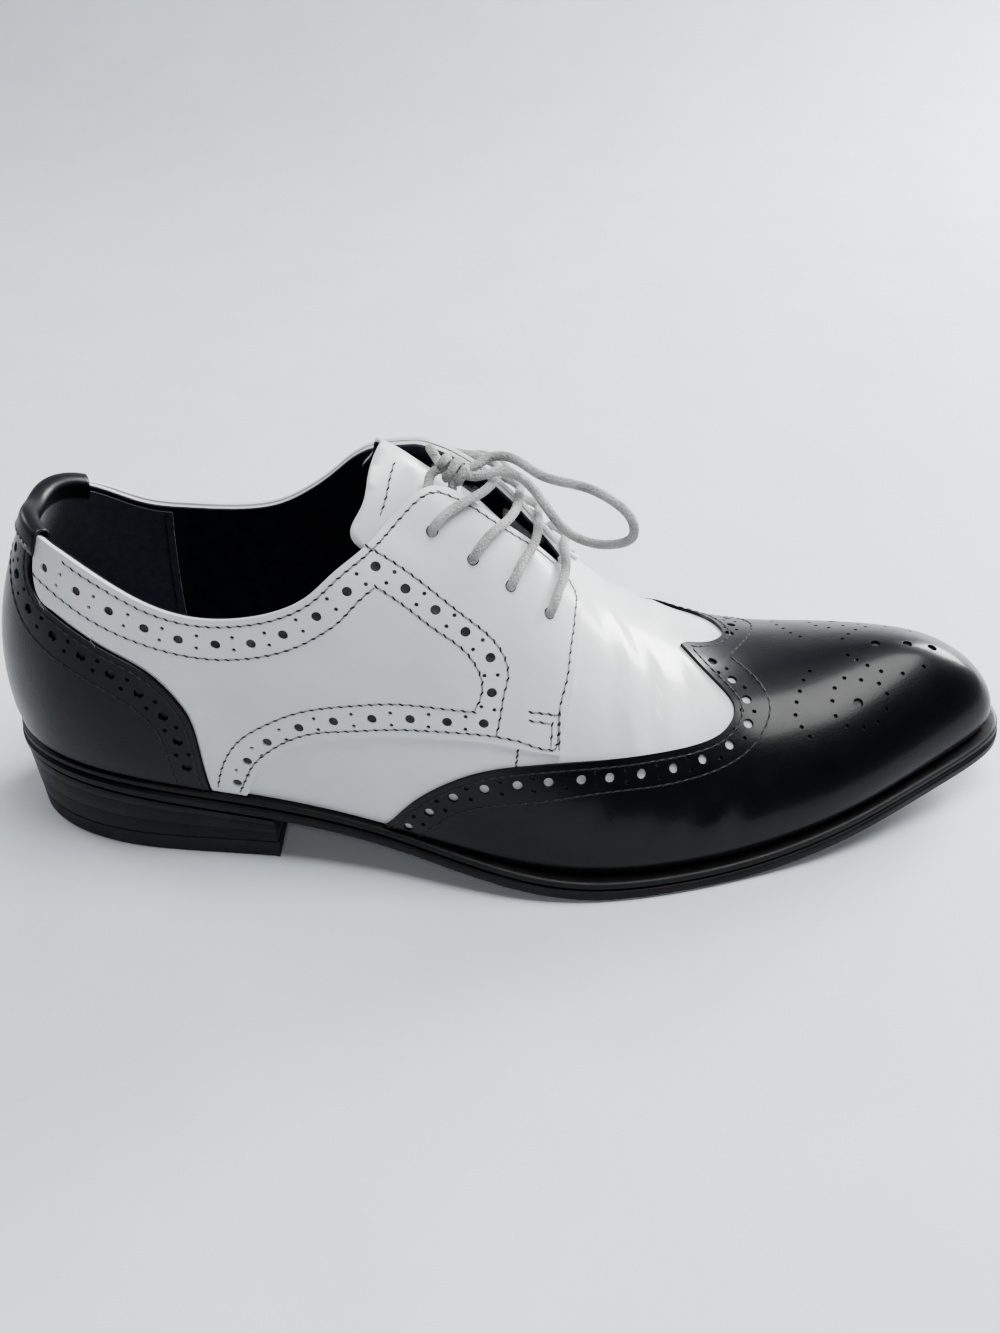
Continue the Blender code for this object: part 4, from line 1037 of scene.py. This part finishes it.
def pins_between(places):
    """Pairs of pinholes midway between neighbouring large holes, square to their row."""
    pairs = []
    for start, end in zip(places, places[1:]):
        angle, rise = (start[0] + end[0]) / 2, (start[1] + end[1]) / 2
        out = facing_out(np.array([angle]), np.array([rise]))[0]
        across = unit(np.cross(out, form(*end) - form(*start)))
        both = [moved(angle, rise, sign * across * PIN_SPREAD) for sign in (-1, 1)]
        pairs += [place for place in both if place[1] > PIN_LOW]
    return pairs


def offset_run(run, distance):
    """A run moved sideways over the last, to its left."""
    angles, rises = np.array(run).T
    ahead = np.gradient(form(angles, rises), axis=0)
    left = unit(np.cross(facing_out(angles, rises), ahead))
    shifted = [moved(*place, side * distance, -NUDGE) for place, side in zip(run, left)]
    return [(angle, float(np.clip(rise, LINE_LOW, LINE_HIGH))) for angle, rise in shifted]


def ring_round(place, side, up, radius, count):
    turns = [math.tau * k / count for k in range(count)]
    return [place + radius * (math.cos(turn) * side + math.sin(turn) * up) for turn in turns]


def sew(name, runs, base, material, slot, pitch=STITCH):
    """Thread laid in short stitches along runs of (angle, rise), with a dark patch of painted shade for the
    needle hole between them.
    """
    points, faces, shade_points, shade_faces = [], [], [], []
    for run in runs:
        angles, rises = np.array(run).T
        path = on_last(angles, rises, base(angles) if callable(base) else creased(angles, rises, base))
        out = facing_out(angles, rises)
        reach = path_reach(path)
        total = max(1, round(reach[-1] / pitch))
        length = reach[-1] / total

        def at(distance):
            place, up = ([np.interp(distance, reach, values) for values in rows.T] for rows in (path, out))
            return np.array(place), unit(np.array(up))

        for start in [k * length for k in range(total)]:
            ahead = at(start + 0.9 * length)[0] - at(start + 0.1 * length)[0]
            first = len(points)
            for share, lift, width in STITCH_SHAPE:
                place, up = at(start + share * length)
                side = unit(np.cross(ahead, up))
                points += ring_round(place + up * THREAD * lift, side, up, THREAD * width, THREAD_SIDES)
            for ring in range(first, first + (len(STITCH_SHAPE) - 1) * THREAD_SIDES, THREAD_SIDES):
                for c in range(THREAD_SIDES):
                    a, b = ring + c, ring + (c + 1) % THREAD_SIDES
                    faces.append((a, a + THREAD_SIDES, b + THREAD_SIDES, b))
            faces.append(tuple(range(first, first + THREAD_SIDES)))
            faces.append(tuple(range(len(points) - THREAD_SIDES, len(points)))[::-1])
            # painted shade: a flat dark patch just over the leather at each needle hole, for the shade inside
            # it
            place, up = at(start)
            side = unit(np.cross(ahead, up))
            slant = np.cross(up, side) * SHADE_FORWARD + side * SHADE_SIDEWAYS
            cross = np.cross(up, slant)
            shade_faces.append(tuple(range(len(shade_points), len(shade_points) + SHADE_SIDES)))
            for turn in [math.tau * c / SHADE_SIDES for c in range(SHADE_SIDES)]:
                away = slant * math.cos(turn) * SHADE_LENGTH + cross * math.sin(turn) * SHADE_WIDTH
                shade_points.append(place + up * SHADE_LIFT + away)
    thread = made_mesh(name, points, faces, material)
    # the painted needle-hole shade, as its own object
    marks = made_mesh(name + "_needle_shade", shade_points, shade_faces, HOLE_SHADE)
    dress(thread, slot)
    dress(marks, slot)


def round_tube(name, rows, radius, material, step=0.0008, sides=14):
    """A round tube through rows of points, with round ends, and its middle line."""
    path = smooth_route(rows, step)
    ahead = unit(np.gradient(path, axis=0))
    side = np.cross(ahead[0], [0, 0.3, 1])
    points, faces = [], []
    thick = np.full(len(path), radius)
    for k, share in enumerate(TUBE_TAPER):
        thick[[k, -1 - k]] *= share
    for place, forward, width in zip(path, ahead, thick):
        side = unit(side - forward * (side @ forward))
        points += ring_round(place, side, np.cross(forward, side), width, sides)
    for ring in range(0, len(points) - sides, sides):
        for k in range(sides):
            a, b = ring + k, ring + (k + 1) % sides
            faces.append((a, b, b + sides, a + sides))
    faces.append(tuple(range(sides))[::-1])
    faces.append(tuple(range(len(points) - sides, len(points))))
    return made_mesh(name, points, faces, material), path


def make_camera():
    turn, down, roll = (math.radians(value) for value in (CAMERA_TURN, CAMERA_DOWN, CAMERA_ROLL))
    forward = Vector((-math.sin(turn) * math.cos(down), math.cos(turn) * math.cos(down), -math.sin(down)))
    right = forward.cross(Vector((0, 0, 1))).normalized()
    up = right.cross(forward)
    data = bpy.data.cameras.new("camera")
    data.lens = CAMERA_LENS
    data.sensor_width = SENSOR
    data.sensor_fit = "AUTO"
    data.clip_start = 0.01
    camera = bpy.data.objects.new("camera", data)
    bpy.context.scene.collection.objects.link(camera)
    axes = camera.matrix_world.to_3x3()
    axes.col[0] = right * math.cos(roll) + up * math.sin(roll)
    axes.col[1] = up * math.cos(roll) - right * math.sin(roll)
    axes.col[2] = -forward
    camera.matrix_world = axes.to_4x4()
    camera.location = Vector(np.array(CAMERA_AT) - SHIFT)
    bpy.context.scene.camera = camera


# The lace


def make_lace():
    """The knot, the bow's loop and end as cords, and the bars. The loop and two ends rise into the knot."""
    knot, _ = round_tube("bow_knot", knot_route(), LACE_RADIUS, WAX)
    dress(knot, "lace_cord", "lace_knot")
    x, y, z = KNOT_TO
    into_knot, out_of_knot = (x - 0.0008, y + 0.0006, z + 0.0010), (x - 0.0008, y - 0.0008, z + 0.0004)
    loop, loop_path = round_tube("bow_outer_loop", (into_knot, *OUTER_LOOP, out_of_knot), LACE_RADIUS, WAX)
    dress(loop, "lace_cord", "lace_outer_loop")
    end, end_path = round_tube("bow_inner_end", INNER_END, LACE_RADIUS, WAX)
    dress(end, "lace_cord", "lace_inner_end")
    tip, _ = round_tube("bow_tip_sleeve", end_path[-16:-1], LACE_RADIUS * 1.07, SLEEVE)
    dress(tip, "lace_cord")
    short_rise = [(0.1356, -0.0030, 0.1121), (0.1338, -0.0041, 0.1121)]
    long_rise = [(0.1380, -0.0046, 0.1086), (0.1385, -0.0034, 0.1104)]
    bars, _ = round_tube("lace_bars", short_rise + lace_route() + long_rise, LACE_RADIUS, WAX, 0.0009, 12)
    dress(bars, "lace_cord", "lace_crossings")


# Leather


def collar_rise(angle, side):
    """The collar's rise at an angle, on one side."""
    angles, rises = zip(*on_angles(side_rows(COLLAR, side)))
    return float(np.interp(angle, angles, rises))


def collar_top(first, last):
    """Places along the collar between two signed angles."""
    run = on_angles(side_rows(COLLAR, -1), -1)[::-1] + on_angles(side_rows(COLLAR, 1))[1:]
    count = max(3, round(abs(last - first) * COLUMNS / math.tau / EDGE_STEP))
    curve = spline(*zip(*run))
    return [(float(angle), float(curve(angle))) for angle in np.linspace(first, last, count)]


def on_side(rows, side):
    """Rows of holes on one side, fitted to that side's collar."""
    placed = []
    for angle, rise in on_angles(rows):
        if side == -1:
            fade = np.clip((rise - 0.15) / 0.2, 0, 1)
            rise = float(rise * (1 + (collar_rise(angle, -1) / collar_rise(angle, 1) - 1) * fade))
        placed.append((side * angle, rise))
    return placed


def on_side_run(rows, side):
    return rounded([(float(station_of(abs(angle))), rise) for angle, rise in on_side(rows, side)], side)


def eyelets_on(side):
    lift = 0.0 if side == 1 else INNER_EYELET_RISE
    return on_angles([(station, rise + lift) for station, rise in EYELETS], side)


def quarter_loop(side):
    """The outline of a quarter, from the counter's seam over the collar and the facing to the waist."""
    ahead, above = COUNTER_SEAM
    rear = [(station + ahead, rise + above) for station, rise in COUNTER_EDGE[1:10]]
    start = COUNTER_EDGE[-1][0] + ahead
    top = collar_rise(angle_at(start), side)
    rear = [(rear[0][0], 0.0)] + rear + [(start, top - 0.03), (start, top)]
    collar = [(start, top)] + [row for row in side_rows(COLLAR, side) if row[0] > start + 0.02]
    throat, front = side_rows(THROAT, side), side_rows(QUARTER_FRONT, side)
    runs = [rear, collar, collar[-1:] + throat, throat[-1:] + front, front[-1:] + list(QUARTER_FOOT)]
    floor = straight((angle_at(QUARTER_FOOT[-1][0], side), 0.0), (angle_at(rear[0][0], side), 0.0))
    loop = joined(*(rounded(run, side) for run in runs), floor)
    return loop[::-1] if side == 1 else loop


def make_quarters():
    for side, name in ((1, "quarter_outer"), (-1, "quarter_inner")):
        large, eyelets = on_side(WHITE_HOLES, side), eyelets_on(side)
        small = pins_between(large)
        holes = punched(large, small) + [ring_about(*place, EYELET_HOLE, HOLE_SIDES) for place in eyelets]
        # the eyelets' walls are painted dark as shade, with the hole-shade material
        rim = (CUT_EDGE, HOLE_SHADE, eyelets)
        quarter = sheet(name + "_leather", quarter_loop(side), 0.0, OVERLAY, WHITE, holes, *rim)
        dress(quarter, "white_leather", name)
        dress(discs(name + "_backing", large + small, QUARTER_BACKING, UNDER_DARK), "lining_leather")
        collar = [row for row in side_rows(COLLAR, side) if row[0] > 0.068]
        throat, front = side_rows(THROAT, side), side_rows(QUARTER_FRONT, side)
        runs = [
            offset_run(rounded(rows, side), -side * margin)
            for rows, margin in (
                (collar + throat[:2], COLLAR_MARGIN),
                (throat[1:], COLLAR_MARGIN),
                (front + list(QUARTER_FOOT[:1]), FRONT_MARGIN),
                (QUARTER_FOOT, FRONT_MARGIN),
            )
        ]
        runs += [on_side_run(rows, side) for rows in (COLLAR_LOW, INNER_BAND[:6], INNER_BAND[5:], OUTER_BAND)]
        runs += [rounded(rows, side) for rows in TACKS]
        sew(name + "_stitches", runs, 0.0, GREY_THREAD, "white_leather")


def make_vamp():
    """The white shell under the panels, and the dark lining inside it."""
    meeting = angle_at(THROAT_END)
    tops = []
    for side in (1, -1):
        rows = [(station, rise - COLLAR_DROP) for station, rise in side_rows(COLLAR, side)]
        rows += [(station, rise - THROAT_DROP) for station, rise in side_rows(THROAT, side)]
        tops.append(rounded(rows + [(THROAT_END, THROAT_END_RISE)], side))
    outer, inner = tops[0], turned(tops[1])
    seam = straight((0.0, 0.0), (0.0, COLLAR[0][1] - COLLAR_DROP))
    loop = joined(
        foot_run(0.0, math.tau), turned(seam), inner, straight(inner[-1], (math.tau - meeting, 1.0)),
        crest_run(math.tau - meeting, meeting), straight((meeting, 1.0), outer[-1]), outer[::-1], seam[::-1],
    )
    eyelets = [(angle % math.tau, rise) for side in (1, -1) for angle, rise in eyelets_on(side)]
    holes = [ring_about(*place, EYELET_RADIUS, HOLE_SIDES) for place in eyelets]
    shell = sheet("vamp_leather", loop, VAMP_LIFT, VAMP_THICKNESS, WHITE, holes)
    dress(shell, "white_leather", "upper")
    seams = [rounded(LOWER_SEAM, side) for side in (1, -1)]
    sew("vamp_side_seams", seams, VAMP_LIFT, GREY_THREAD, "white_leather", SEAM_STITCH)
    inside = sheet("lining_leather", loop, LINING_LIFT, LINING_THICKNESS, LINING, holes)
    dress(inside, "lining_leather")


def make_heel_lining():
    """The suede pocket round the heel inside, with its front edges stitched down."""
    front = angle_at(POCKET_FRONT)
    top = [(angle, rise - POCKET_DROP) for angle, rise in collar_top(-front, front)]
    foot = [(angle, POCKET_FOOT) for angle, _ in top]
    loop = joined(foot, straight(foot[-1], top[-1]), top[::-1], straight(top[0], foot[0]))
    lift = LINING_LIFT - LINING_THICKNESS - 0.00025
    dress(sheet("heel_lining_suede", loop, lift, POCKET_THICKNESS, NAVY), "lining_leather")
    low, high = POCKET_FOOT + 0.02, top[-1][1] - 0.02
    runs = [straight((side * (front - 0.02), low), (side * (front - 0.02), high)) for side in (1, -1)]
    sew("heel_lining_stitches", runs, lift - 0.0006, DARK_THREAD, "lining_leather")


def make_wingtip():
    """The toe cap with its wings, its medallion, and pale leather behind the row along its edge."""
    rows = {1: WING_HOLES, -1: WING_HOLES[:-2] + INNER_WING_LAST}
    outer = rounded(WING_OUTER + ((WING_PEAK + 0.002, 0.975),))
    inner = turned(rounded(WING_INNER + ((WING_PEAK + 0.004, 0.985),), -1))
    peak = angle_at(WING_PEAK)
    loop = joined(
        foot_run(outer[0][0], inner[0][0]), inner, straight(inner[-1], (math.tau - peak, 1.0)),
        crest_run(math.tau - peak, peak), straight((peak, 1.0), outer[-1]), outer[::-1],
    )
    large, small = [], []
    for side in (1, -1):
        row = on_angles(rows[side], side)
        large += row + on_angles([MEDALLION_SIDE], side)
        small += pins_between(row) + on_angles(MEDALLION_SMALL, side)
    large, small = ([(angle % math.tau, rise) for angle, rise in places] for places in (large, small))
    middle = [(math.pi, rise) for rise in MEDALLION_MIDDLE]
    large += middle
    wing = sheet("wingtip_leather", loop, 0.0, OVERLAY, BLACK, punched(large, small), CUT_EDGE)
    dress(wing, "black_leather", "wingtip")
    row = on_angles(WING_HOLES[:-1]) + on_angles(rows[-1], -1)
    dress(discs("wingtip_backing", row, PANEL_BACKING, UNDER_WHITE), "white_leather")
    last = on_angles(WING_HOLES[-1:])
    rest = small + middle + last + [place for place in large if place[1] == MEDALLION_SIDE[1]]
    below = BACKING_DEPTH - 0.00001
    dress(discs("medallion_backing", rest, MEDALLION_BACKING, UNDER_DARK, below), "lining_leather")
    runs = []
    for side, table in ((1, WING_OUTER), (-1, WING_INNER)):
        edge = rounded(table + ((WING_PEAK + 0.003, 0.985),), side)
        runs += [offset_run(edge, -side * WING_MARGIN), rounded(WING_LINE, side)]
    sew("wingtip_stitches", runs, 0.0, DARK_THREAD, "black_leather")


def make_counter():
    reach = angle_at(COUNTER_EDGE[-1][0])
    top = collar_top(-reach, reach)
    outer, inner = rounded(COUNTER_EDGE[:-1]), [(-angle, rise) for angle, rise in rounded(COUNTER_EDGE[:-1])]
    outer, inner = joined(outer, straight(outer[-1], top[-1])), joined(inner, straight(inner[-1], top[0]))
    loop = joined(foot_run(inner[0][0], outer[0][0]), outer, top[::-1], inner[::-1])
    rows = [on_angles(COUNTER_HOLES, side) for side in (1, -1)]
    large = rows[0] + rows[1]
    small = pins_between(rows[0]) + pins_between(rows[1])
    thickness = OVERLAY + COUNTER_PROUD
    holes = punched(large, small)
    counter = sheet("counter_leather", loop, COUNTER_PROUD, thickness, BLACK, holes, CUT_EDGE)
    dress(counter, "black_leather", "counter")
    dress(discs("counter_backing", large + small, PANEL_BACKING, UNDER_DARK), "lining_leather")
    runs = []
    for side in (1, -1):
        edge = offset_run(rounded(COUNTER_EDGE[:-1], side), side * COUNTER_MARGIN)
        runs += [edge, rounded(COUNTER_LINE, side)]
    sew("counter_stitches", runs, COUNTER_PROUD, DARK_THREAD, "black_leather")


def make_loose_threads():
    # along, away from the leather, up
    curl = ((0.0, 0.0004, 0.0), (0.0006, 0.0012, 0.0012), (0.0002, 0.0016, 0.0028), (0.0010, 0.0013, 0.0042))
    for number, (angle, rise) in enumerate(on_angles(THREAD_ENDS)):
        start = form(angle, rise)
        out = facing_out(np.array([angle]), np.array([rise]))[0]
        rows = [start + np.array((along, 0.0, up)) + out * away for along, away, up in curl]
        thread, _ = round_tube("loose_thread_" + str(number), rows, 0.00009, GREY_THREAD, 0.0003, 6)
        dress(thread, "black_leather")


def tongue_lift(angle):
    return -DEPTH(station_of(angle)) - TONGUE_SKIN


def make_tongue():
    """The tongue, deep between the facings, white above and lined below."""
    top, foot = angle_at(TONGUE_TOP), angle_at(TONGUE_FOOT)
    outer, inner = rounded(TONGUE_EDGE), turned(rounded(TONGUE_EDGE, -1))
    outer = joined(
        crest_run(foot, top), straight((top, 1.0), outer[0]), outer, straight(outer[-1], (foot, 1.0))
    )
    top, foot = math.tau - top, math.tau - foot
    inner = joined(
        crest_run(top, foot), straight((foot, 1.0), inner[-1]), inner[::-1], straight(inner[0], (top, 1.0))
    )
    angle, rise, faces = cut_sheet([outer, inner], [])
    depth = -DEPTH(station_of(angle))
    points = np.concatenate([on_last(angle, rise, depth - lift) for lift in (TONGUE_SKIN, TONGUE_THICKNESS)])
    count = len(angle)
    rows = both_faces(faces, count)
    walls = [(b, a, a + count, b + count) for a, b in rim_of(faces)]
    slots = [0] * len(faces) + [1] * len(faces) + [0] * len(walls)
    tongue = made_mesh("tongue_leather", points, rows + walls, WHITE, None, slots, LINING)
    dress(tongue, "white_leather", "tongue")
    runs = [rounded(TONGUE_LINE, side) for side in (1, -1)]
    sew("tongue_stitches", runs, tongue_lift, GREY_THREAD, "white_leather")


def make_binding():
    """The folded strip over the collar at the heel, closed at its ends, and its stitches."""
    outer_end, inner_end = (angle_at(station) for station in BINDING_STATIONS)
    angles, top = np.array(collar_top(-inner_end, outer_end)).T
    height = (form(angles, top + 0.01) - form(angles, top - 0.01))[:, 2] / 0.02
    proud, inside = COUNTER_PROUD + CLEARANCE, -OVERLAY - WALL - 3 * CLEARANCE
    middle, half = (proud + inside) / 2, (proud - inside) / 2
    crown = half + BINDING_SKIN
    sides = [
        (BINDING_SKIN * (BINDING_LIP if share == 1.0 else 1.0), top - BINDING_DEPTH * share / height)
        for share in BINDING_SHARES
    ]
    rows = [(proud + skin, rise) for skin, rise in sides]
    for turn in math.pi * np.arange(1, FOLD_STEPS) / FOLD_STEPS:
        up = FOLD_CLEAR + crown * FOLD_ROUNDNESS * math.sin(turn)
        rows.append((middle + crown * math.cos(turn), top + up / height))
    rows += [(inside - skin, rise) for skin, rise in sides[::-1]]
    for lift, rise in rows[::-1]:
        flat = max(min(lift, proud - FOLD_CLEAR), inside + FOLD_CLEAR)
        hollow = flat if abs(lift - middle) > half else middle + (lift - middle) * 0.75
        rows.append((hollow, rise - BINDING_WALL / height))
    points = np.concatenate([on_last(angles, rise, lift * np.ones_like(angles)) for lift, rise in rows])
    count, corners = len(angles), len(rows)
    faces = []
    for c in range(corners):
        for k in range(count - 1):
            a, b = c * count + k, ((c + 1) % corners) * count + k
            faces.append((a, b, b + 1, a + 1))
    for k in range(corners // 2 - 1):
        quad = (k, k + 1, corners - 2 - k, corners - 1 - k)
        faces.append(tuple(c * count for c in quad[::-1]))
        faces.append(tuple(c * count + count - 1 for c in quad))
    dress(made_mesh("collar_binding_strip", points, faces, BINDING), "black_leather", "collar_binding")
    low = top - (BINDING_DEPTH - 0.0012) / height
    run = list(zip(angles[3:-3], low[3:-3]))
    sew("binding_stitches", [run], proud + BINDING_SKIN, GREY_THREAD, "black_leather", BINDING_STITCH)


# The bottom


def ring_slab(name, rings, material, closed=False):
    """A solid through rings of points, capped at both ends unless the last ring joins the first."""
    count, spans = len(rings[0]), len(rings)
    faces = []
    for r in range(spans if closed else spans - 1):
        for k in range(count):
            here, above = r * count, ((r + 1) % spans) * count
            turn = (k + 1) % count
            faces.append((here + turn, here + k, above + k, above + turn))
    if not closed:
        last = (spans - 1) * count
        for k in range(count // 2 - 1):
            across = (k, k + 1, count - 2 - k, count - 1 - k)
            faces.append(across)
            faces.append(tuple(last + v for v in across[::-1]))
    piece = made_mesh(name, np.concatenate(rings), faces, material)
    piece.data.set_sharp_from_angle(angle=math.radians(SHARP_ANGLE))
    return piece


def make_welt_and_sole():
    angles = even_angles(SOLE_ANGLES)
    reach, feather = welt_reach(angles), FEATHER_Z(station_of(angles))
    top = feather - CLEARANCE
    rings = [feather_ring(angles, WELT_HIDDEN, top)]
    for out, down, share in WELT_SECTION:
        rings.append(feather_ring(angles, reach + out, top - down - share * WELT_THICKNESS))
    for down in (WELT_THICKNESS, 0.0006):
        rings.append(feather_ring(angles, -WELT_INNER_REACH, top - down))
    dress(ring_slab("welt_strip", rings, EDGE, closed=True), "sole_edge", "welt")
    low = np.maximum(feather - SOLE_THICKNESS, 0)
    high = feather - WELT_THICKNESS - 2 * CLEARANCE
    section = (
        (-0.0011, high), (-0.0002, high - 0.00025), (SOLE_SWELL, high - 0.0009),
        (SOLE_SWELL * 1.1, (high + low) / 2), (SOLE_SWELL, low + 0.0010), (-0.0002, low + 0.00032),
        (-0.0009, low),
    )
    sole = ring_slab("outsole_leather", [feather_ring(angles, reach + out, at) for out, at in section], EDGE)
    sole.data.materials.append(TREAD)
    for face in sole.data.polygons:
        if face.normal.z < -0.6:
            face.material_index = 1
    dress(sole, "sole_edge", "outsole")


def heel_ring(angles, out, height, breast):
    """A ring of the heel, cut off straight at its breast."""
    ring = feather_ring(angles, out, height)
    ring[:, 0] = np.minimum(ring[:, 0], breast)
    return ring


def make_heel():
    limit = angle_at(HEEL_BREAST / LAST_LENGTH)
    angles = np.linspace(-limit, limit, HEEL_ANGLES)
    top = FEATHER_Z(station_of(angles)) - SOLE_THICKNESS - CLEARANCE
    bottom = HEEL_CAP_THICKNESS + CLEARANCE
    rings = []
    for start, end in HEEL_LIFTS:
        for share, inward in LIFT_SECTION:
            down = start + (end - start) * share
            out = WELT_REACH_HEEL - HEEL_TAPER * 0.8 * down - inward
            breast = HEEL_BREAST + HEEL_BREAST_LEAN * (1 - down) - inward
            rings.append(heel_ring(angles, out, top + (bottom - top) * down, breast))
    dress(ring_slab("heel_stack", rings, EDGE), "sole_edge", "heel_block")
    high = bottom - CLEARANCE
    rings = []
    for height, inward in ((high, 0.0003), (high - 0.0003, 0.0), (0.0005, 0.0002), (0.0, 0.0006)):
        out = WELT_REACH_HEEL - HEEL_TAPER * 0.85 - inward
        rings.append(heel_ring(angles, out, height, HEEL_BREAST - inward))
    dress(ring_slab("heel_top_piece", rings, TREAD), "heel_rubber", "heel_cap")


def make_insole():
    angles = even_angles(SOLE_ANGLES)
    feather = FEATHER_Z(station_of(angles))
    rings = [feather_ring(angles, -inward, feather + height) for inward, height in INSOLE_SECTION]
    dress(ring_slab("insole_cover", rings, BOARD), "insole_board", "insole")


# The studio


def make_floor():
    """A plain floor that bends up into a wall behind the shoe."""
    side, back, bend, rise = 3.0, 1.2, 0.5, 1.6
    rows = [(-side, 0.0), (back - bend, 0.0)]
    for turn in np.linspace(0.1, math.pi / 2, 14):
        rows.append((back - bend + bend * math.sin(turn), bend - bend * math.cos(turn)))
    rows.append((back, rise))
    faces = [(2 * k, 2 * k + 1, 2 * k + 3, 2 * k + 2) for k in range(len(rows) - 1)]
    mesh = bpy.data.meshes.new("floor")
    mesh.from_pydata([(x, y, z) for y, z in rows for x in (-side, side)], [], faces)
    mesh.polygons.foreach_set("use_smooth", np.ones(len(faces), dtype=bool))
    colors = ((0.72, 0.75, 0.78), (0.76, 0.79, 0.82))
    mesh.materials.append(plain_material("floor", *colors, 0.6, 60.0, 0.05, 0.0005))
    floor = bpy.data.objects.new("floor", mesh)
    bpy.context.scene.collection.objects.link(floor)


def make_world():
    """Soft light that is dark behind the camera and pale behind the shoe."""
    world = bpy.data.worlds.new("studio")
    world.use_nodes = True
    tree = world.node_tree
    place = tree.nodes.new("ShaderNodeTexCoord")
    parts = tree.nodes.new("ShaderNodeSeparateXYZ")
    ramp = tree.nodes.new("ShaderNodeValToRGB")
    shifted = tree.nodes.new("ShaderNodeMapRange")
    shifted.inputs["From Min"].default_value = -1.0
    tree.links.new(place.outputs["Generated"], parts.inputs["Vector"])
    tree.links.new(parts.outputs["Y"], shifted.inputs["Value"])
    tree.links.new(shifted.outputs["Result"], ramp.inputs["Fac"])
    first, last = ramp.color_ramp.elements
    first.position, first.color = 0.35, (0.10, 0.11, 0.12, 1)
    last.position, last.color = 0.95, (0.85, 0.92, 1.0, 1)
    background = tree.nodes["Background"]
    tree.links.new(ramp.outputs["Color"], background.inputs["Color"])
    background.inputs["Strength"].default_value = 0.75
    bpy.context.scene.world = world
    bpy.context.scene.view_settings.look = "AgX - Medium High Contrast"


def make_lamps():
    for name, place, aim, across, along, watts in (
        # name, place, aimed at, size across, size along, watts
        ("ceiling", (0.34, -0.02, 1.10), (0.08, 0.0, 0.0), 0.60, 0.70, 13.0),
        ("window", (0.80, 0.72, 0.46), (0.12, 0.0, 0.04), 0.45, 0.45, 18.0),
        ("heel_side", (-0.80, 0.45, 0.50), (-0.05, 0.0, 0.05), 0.30, 0.40, 2.0),
        ("front", (0.05, -1.10, 0.95), (0.0, 0.0, 0.05), 0.50, 0.30, 3.5),
    ):
        data = bpy.data.lights.new(name, "AREA")
        data.shape = "RECTANGLE"
        data.size, data.size_y, data.energy = across, along, watts
        lamp = bpy.data.objects.new(name, data)
        lamp.location = place
        lamp.rotation_euler = (Vector(aim) - Vector(place)).to_track_quat("-Z", "Y").to_euler()
        bpy.context.scene.collection.objects.link(lamp)


make_camera()
make_lace()
make_quarters()
make_vamp()
make_heel_lining()
make_wingtip()
make_counter()
make_loose_threads()
make_tongue()
make_binding()
make_welt_and_sole()
make_heel()
make_insole()
make_floor()
make_world()
make_lamps()
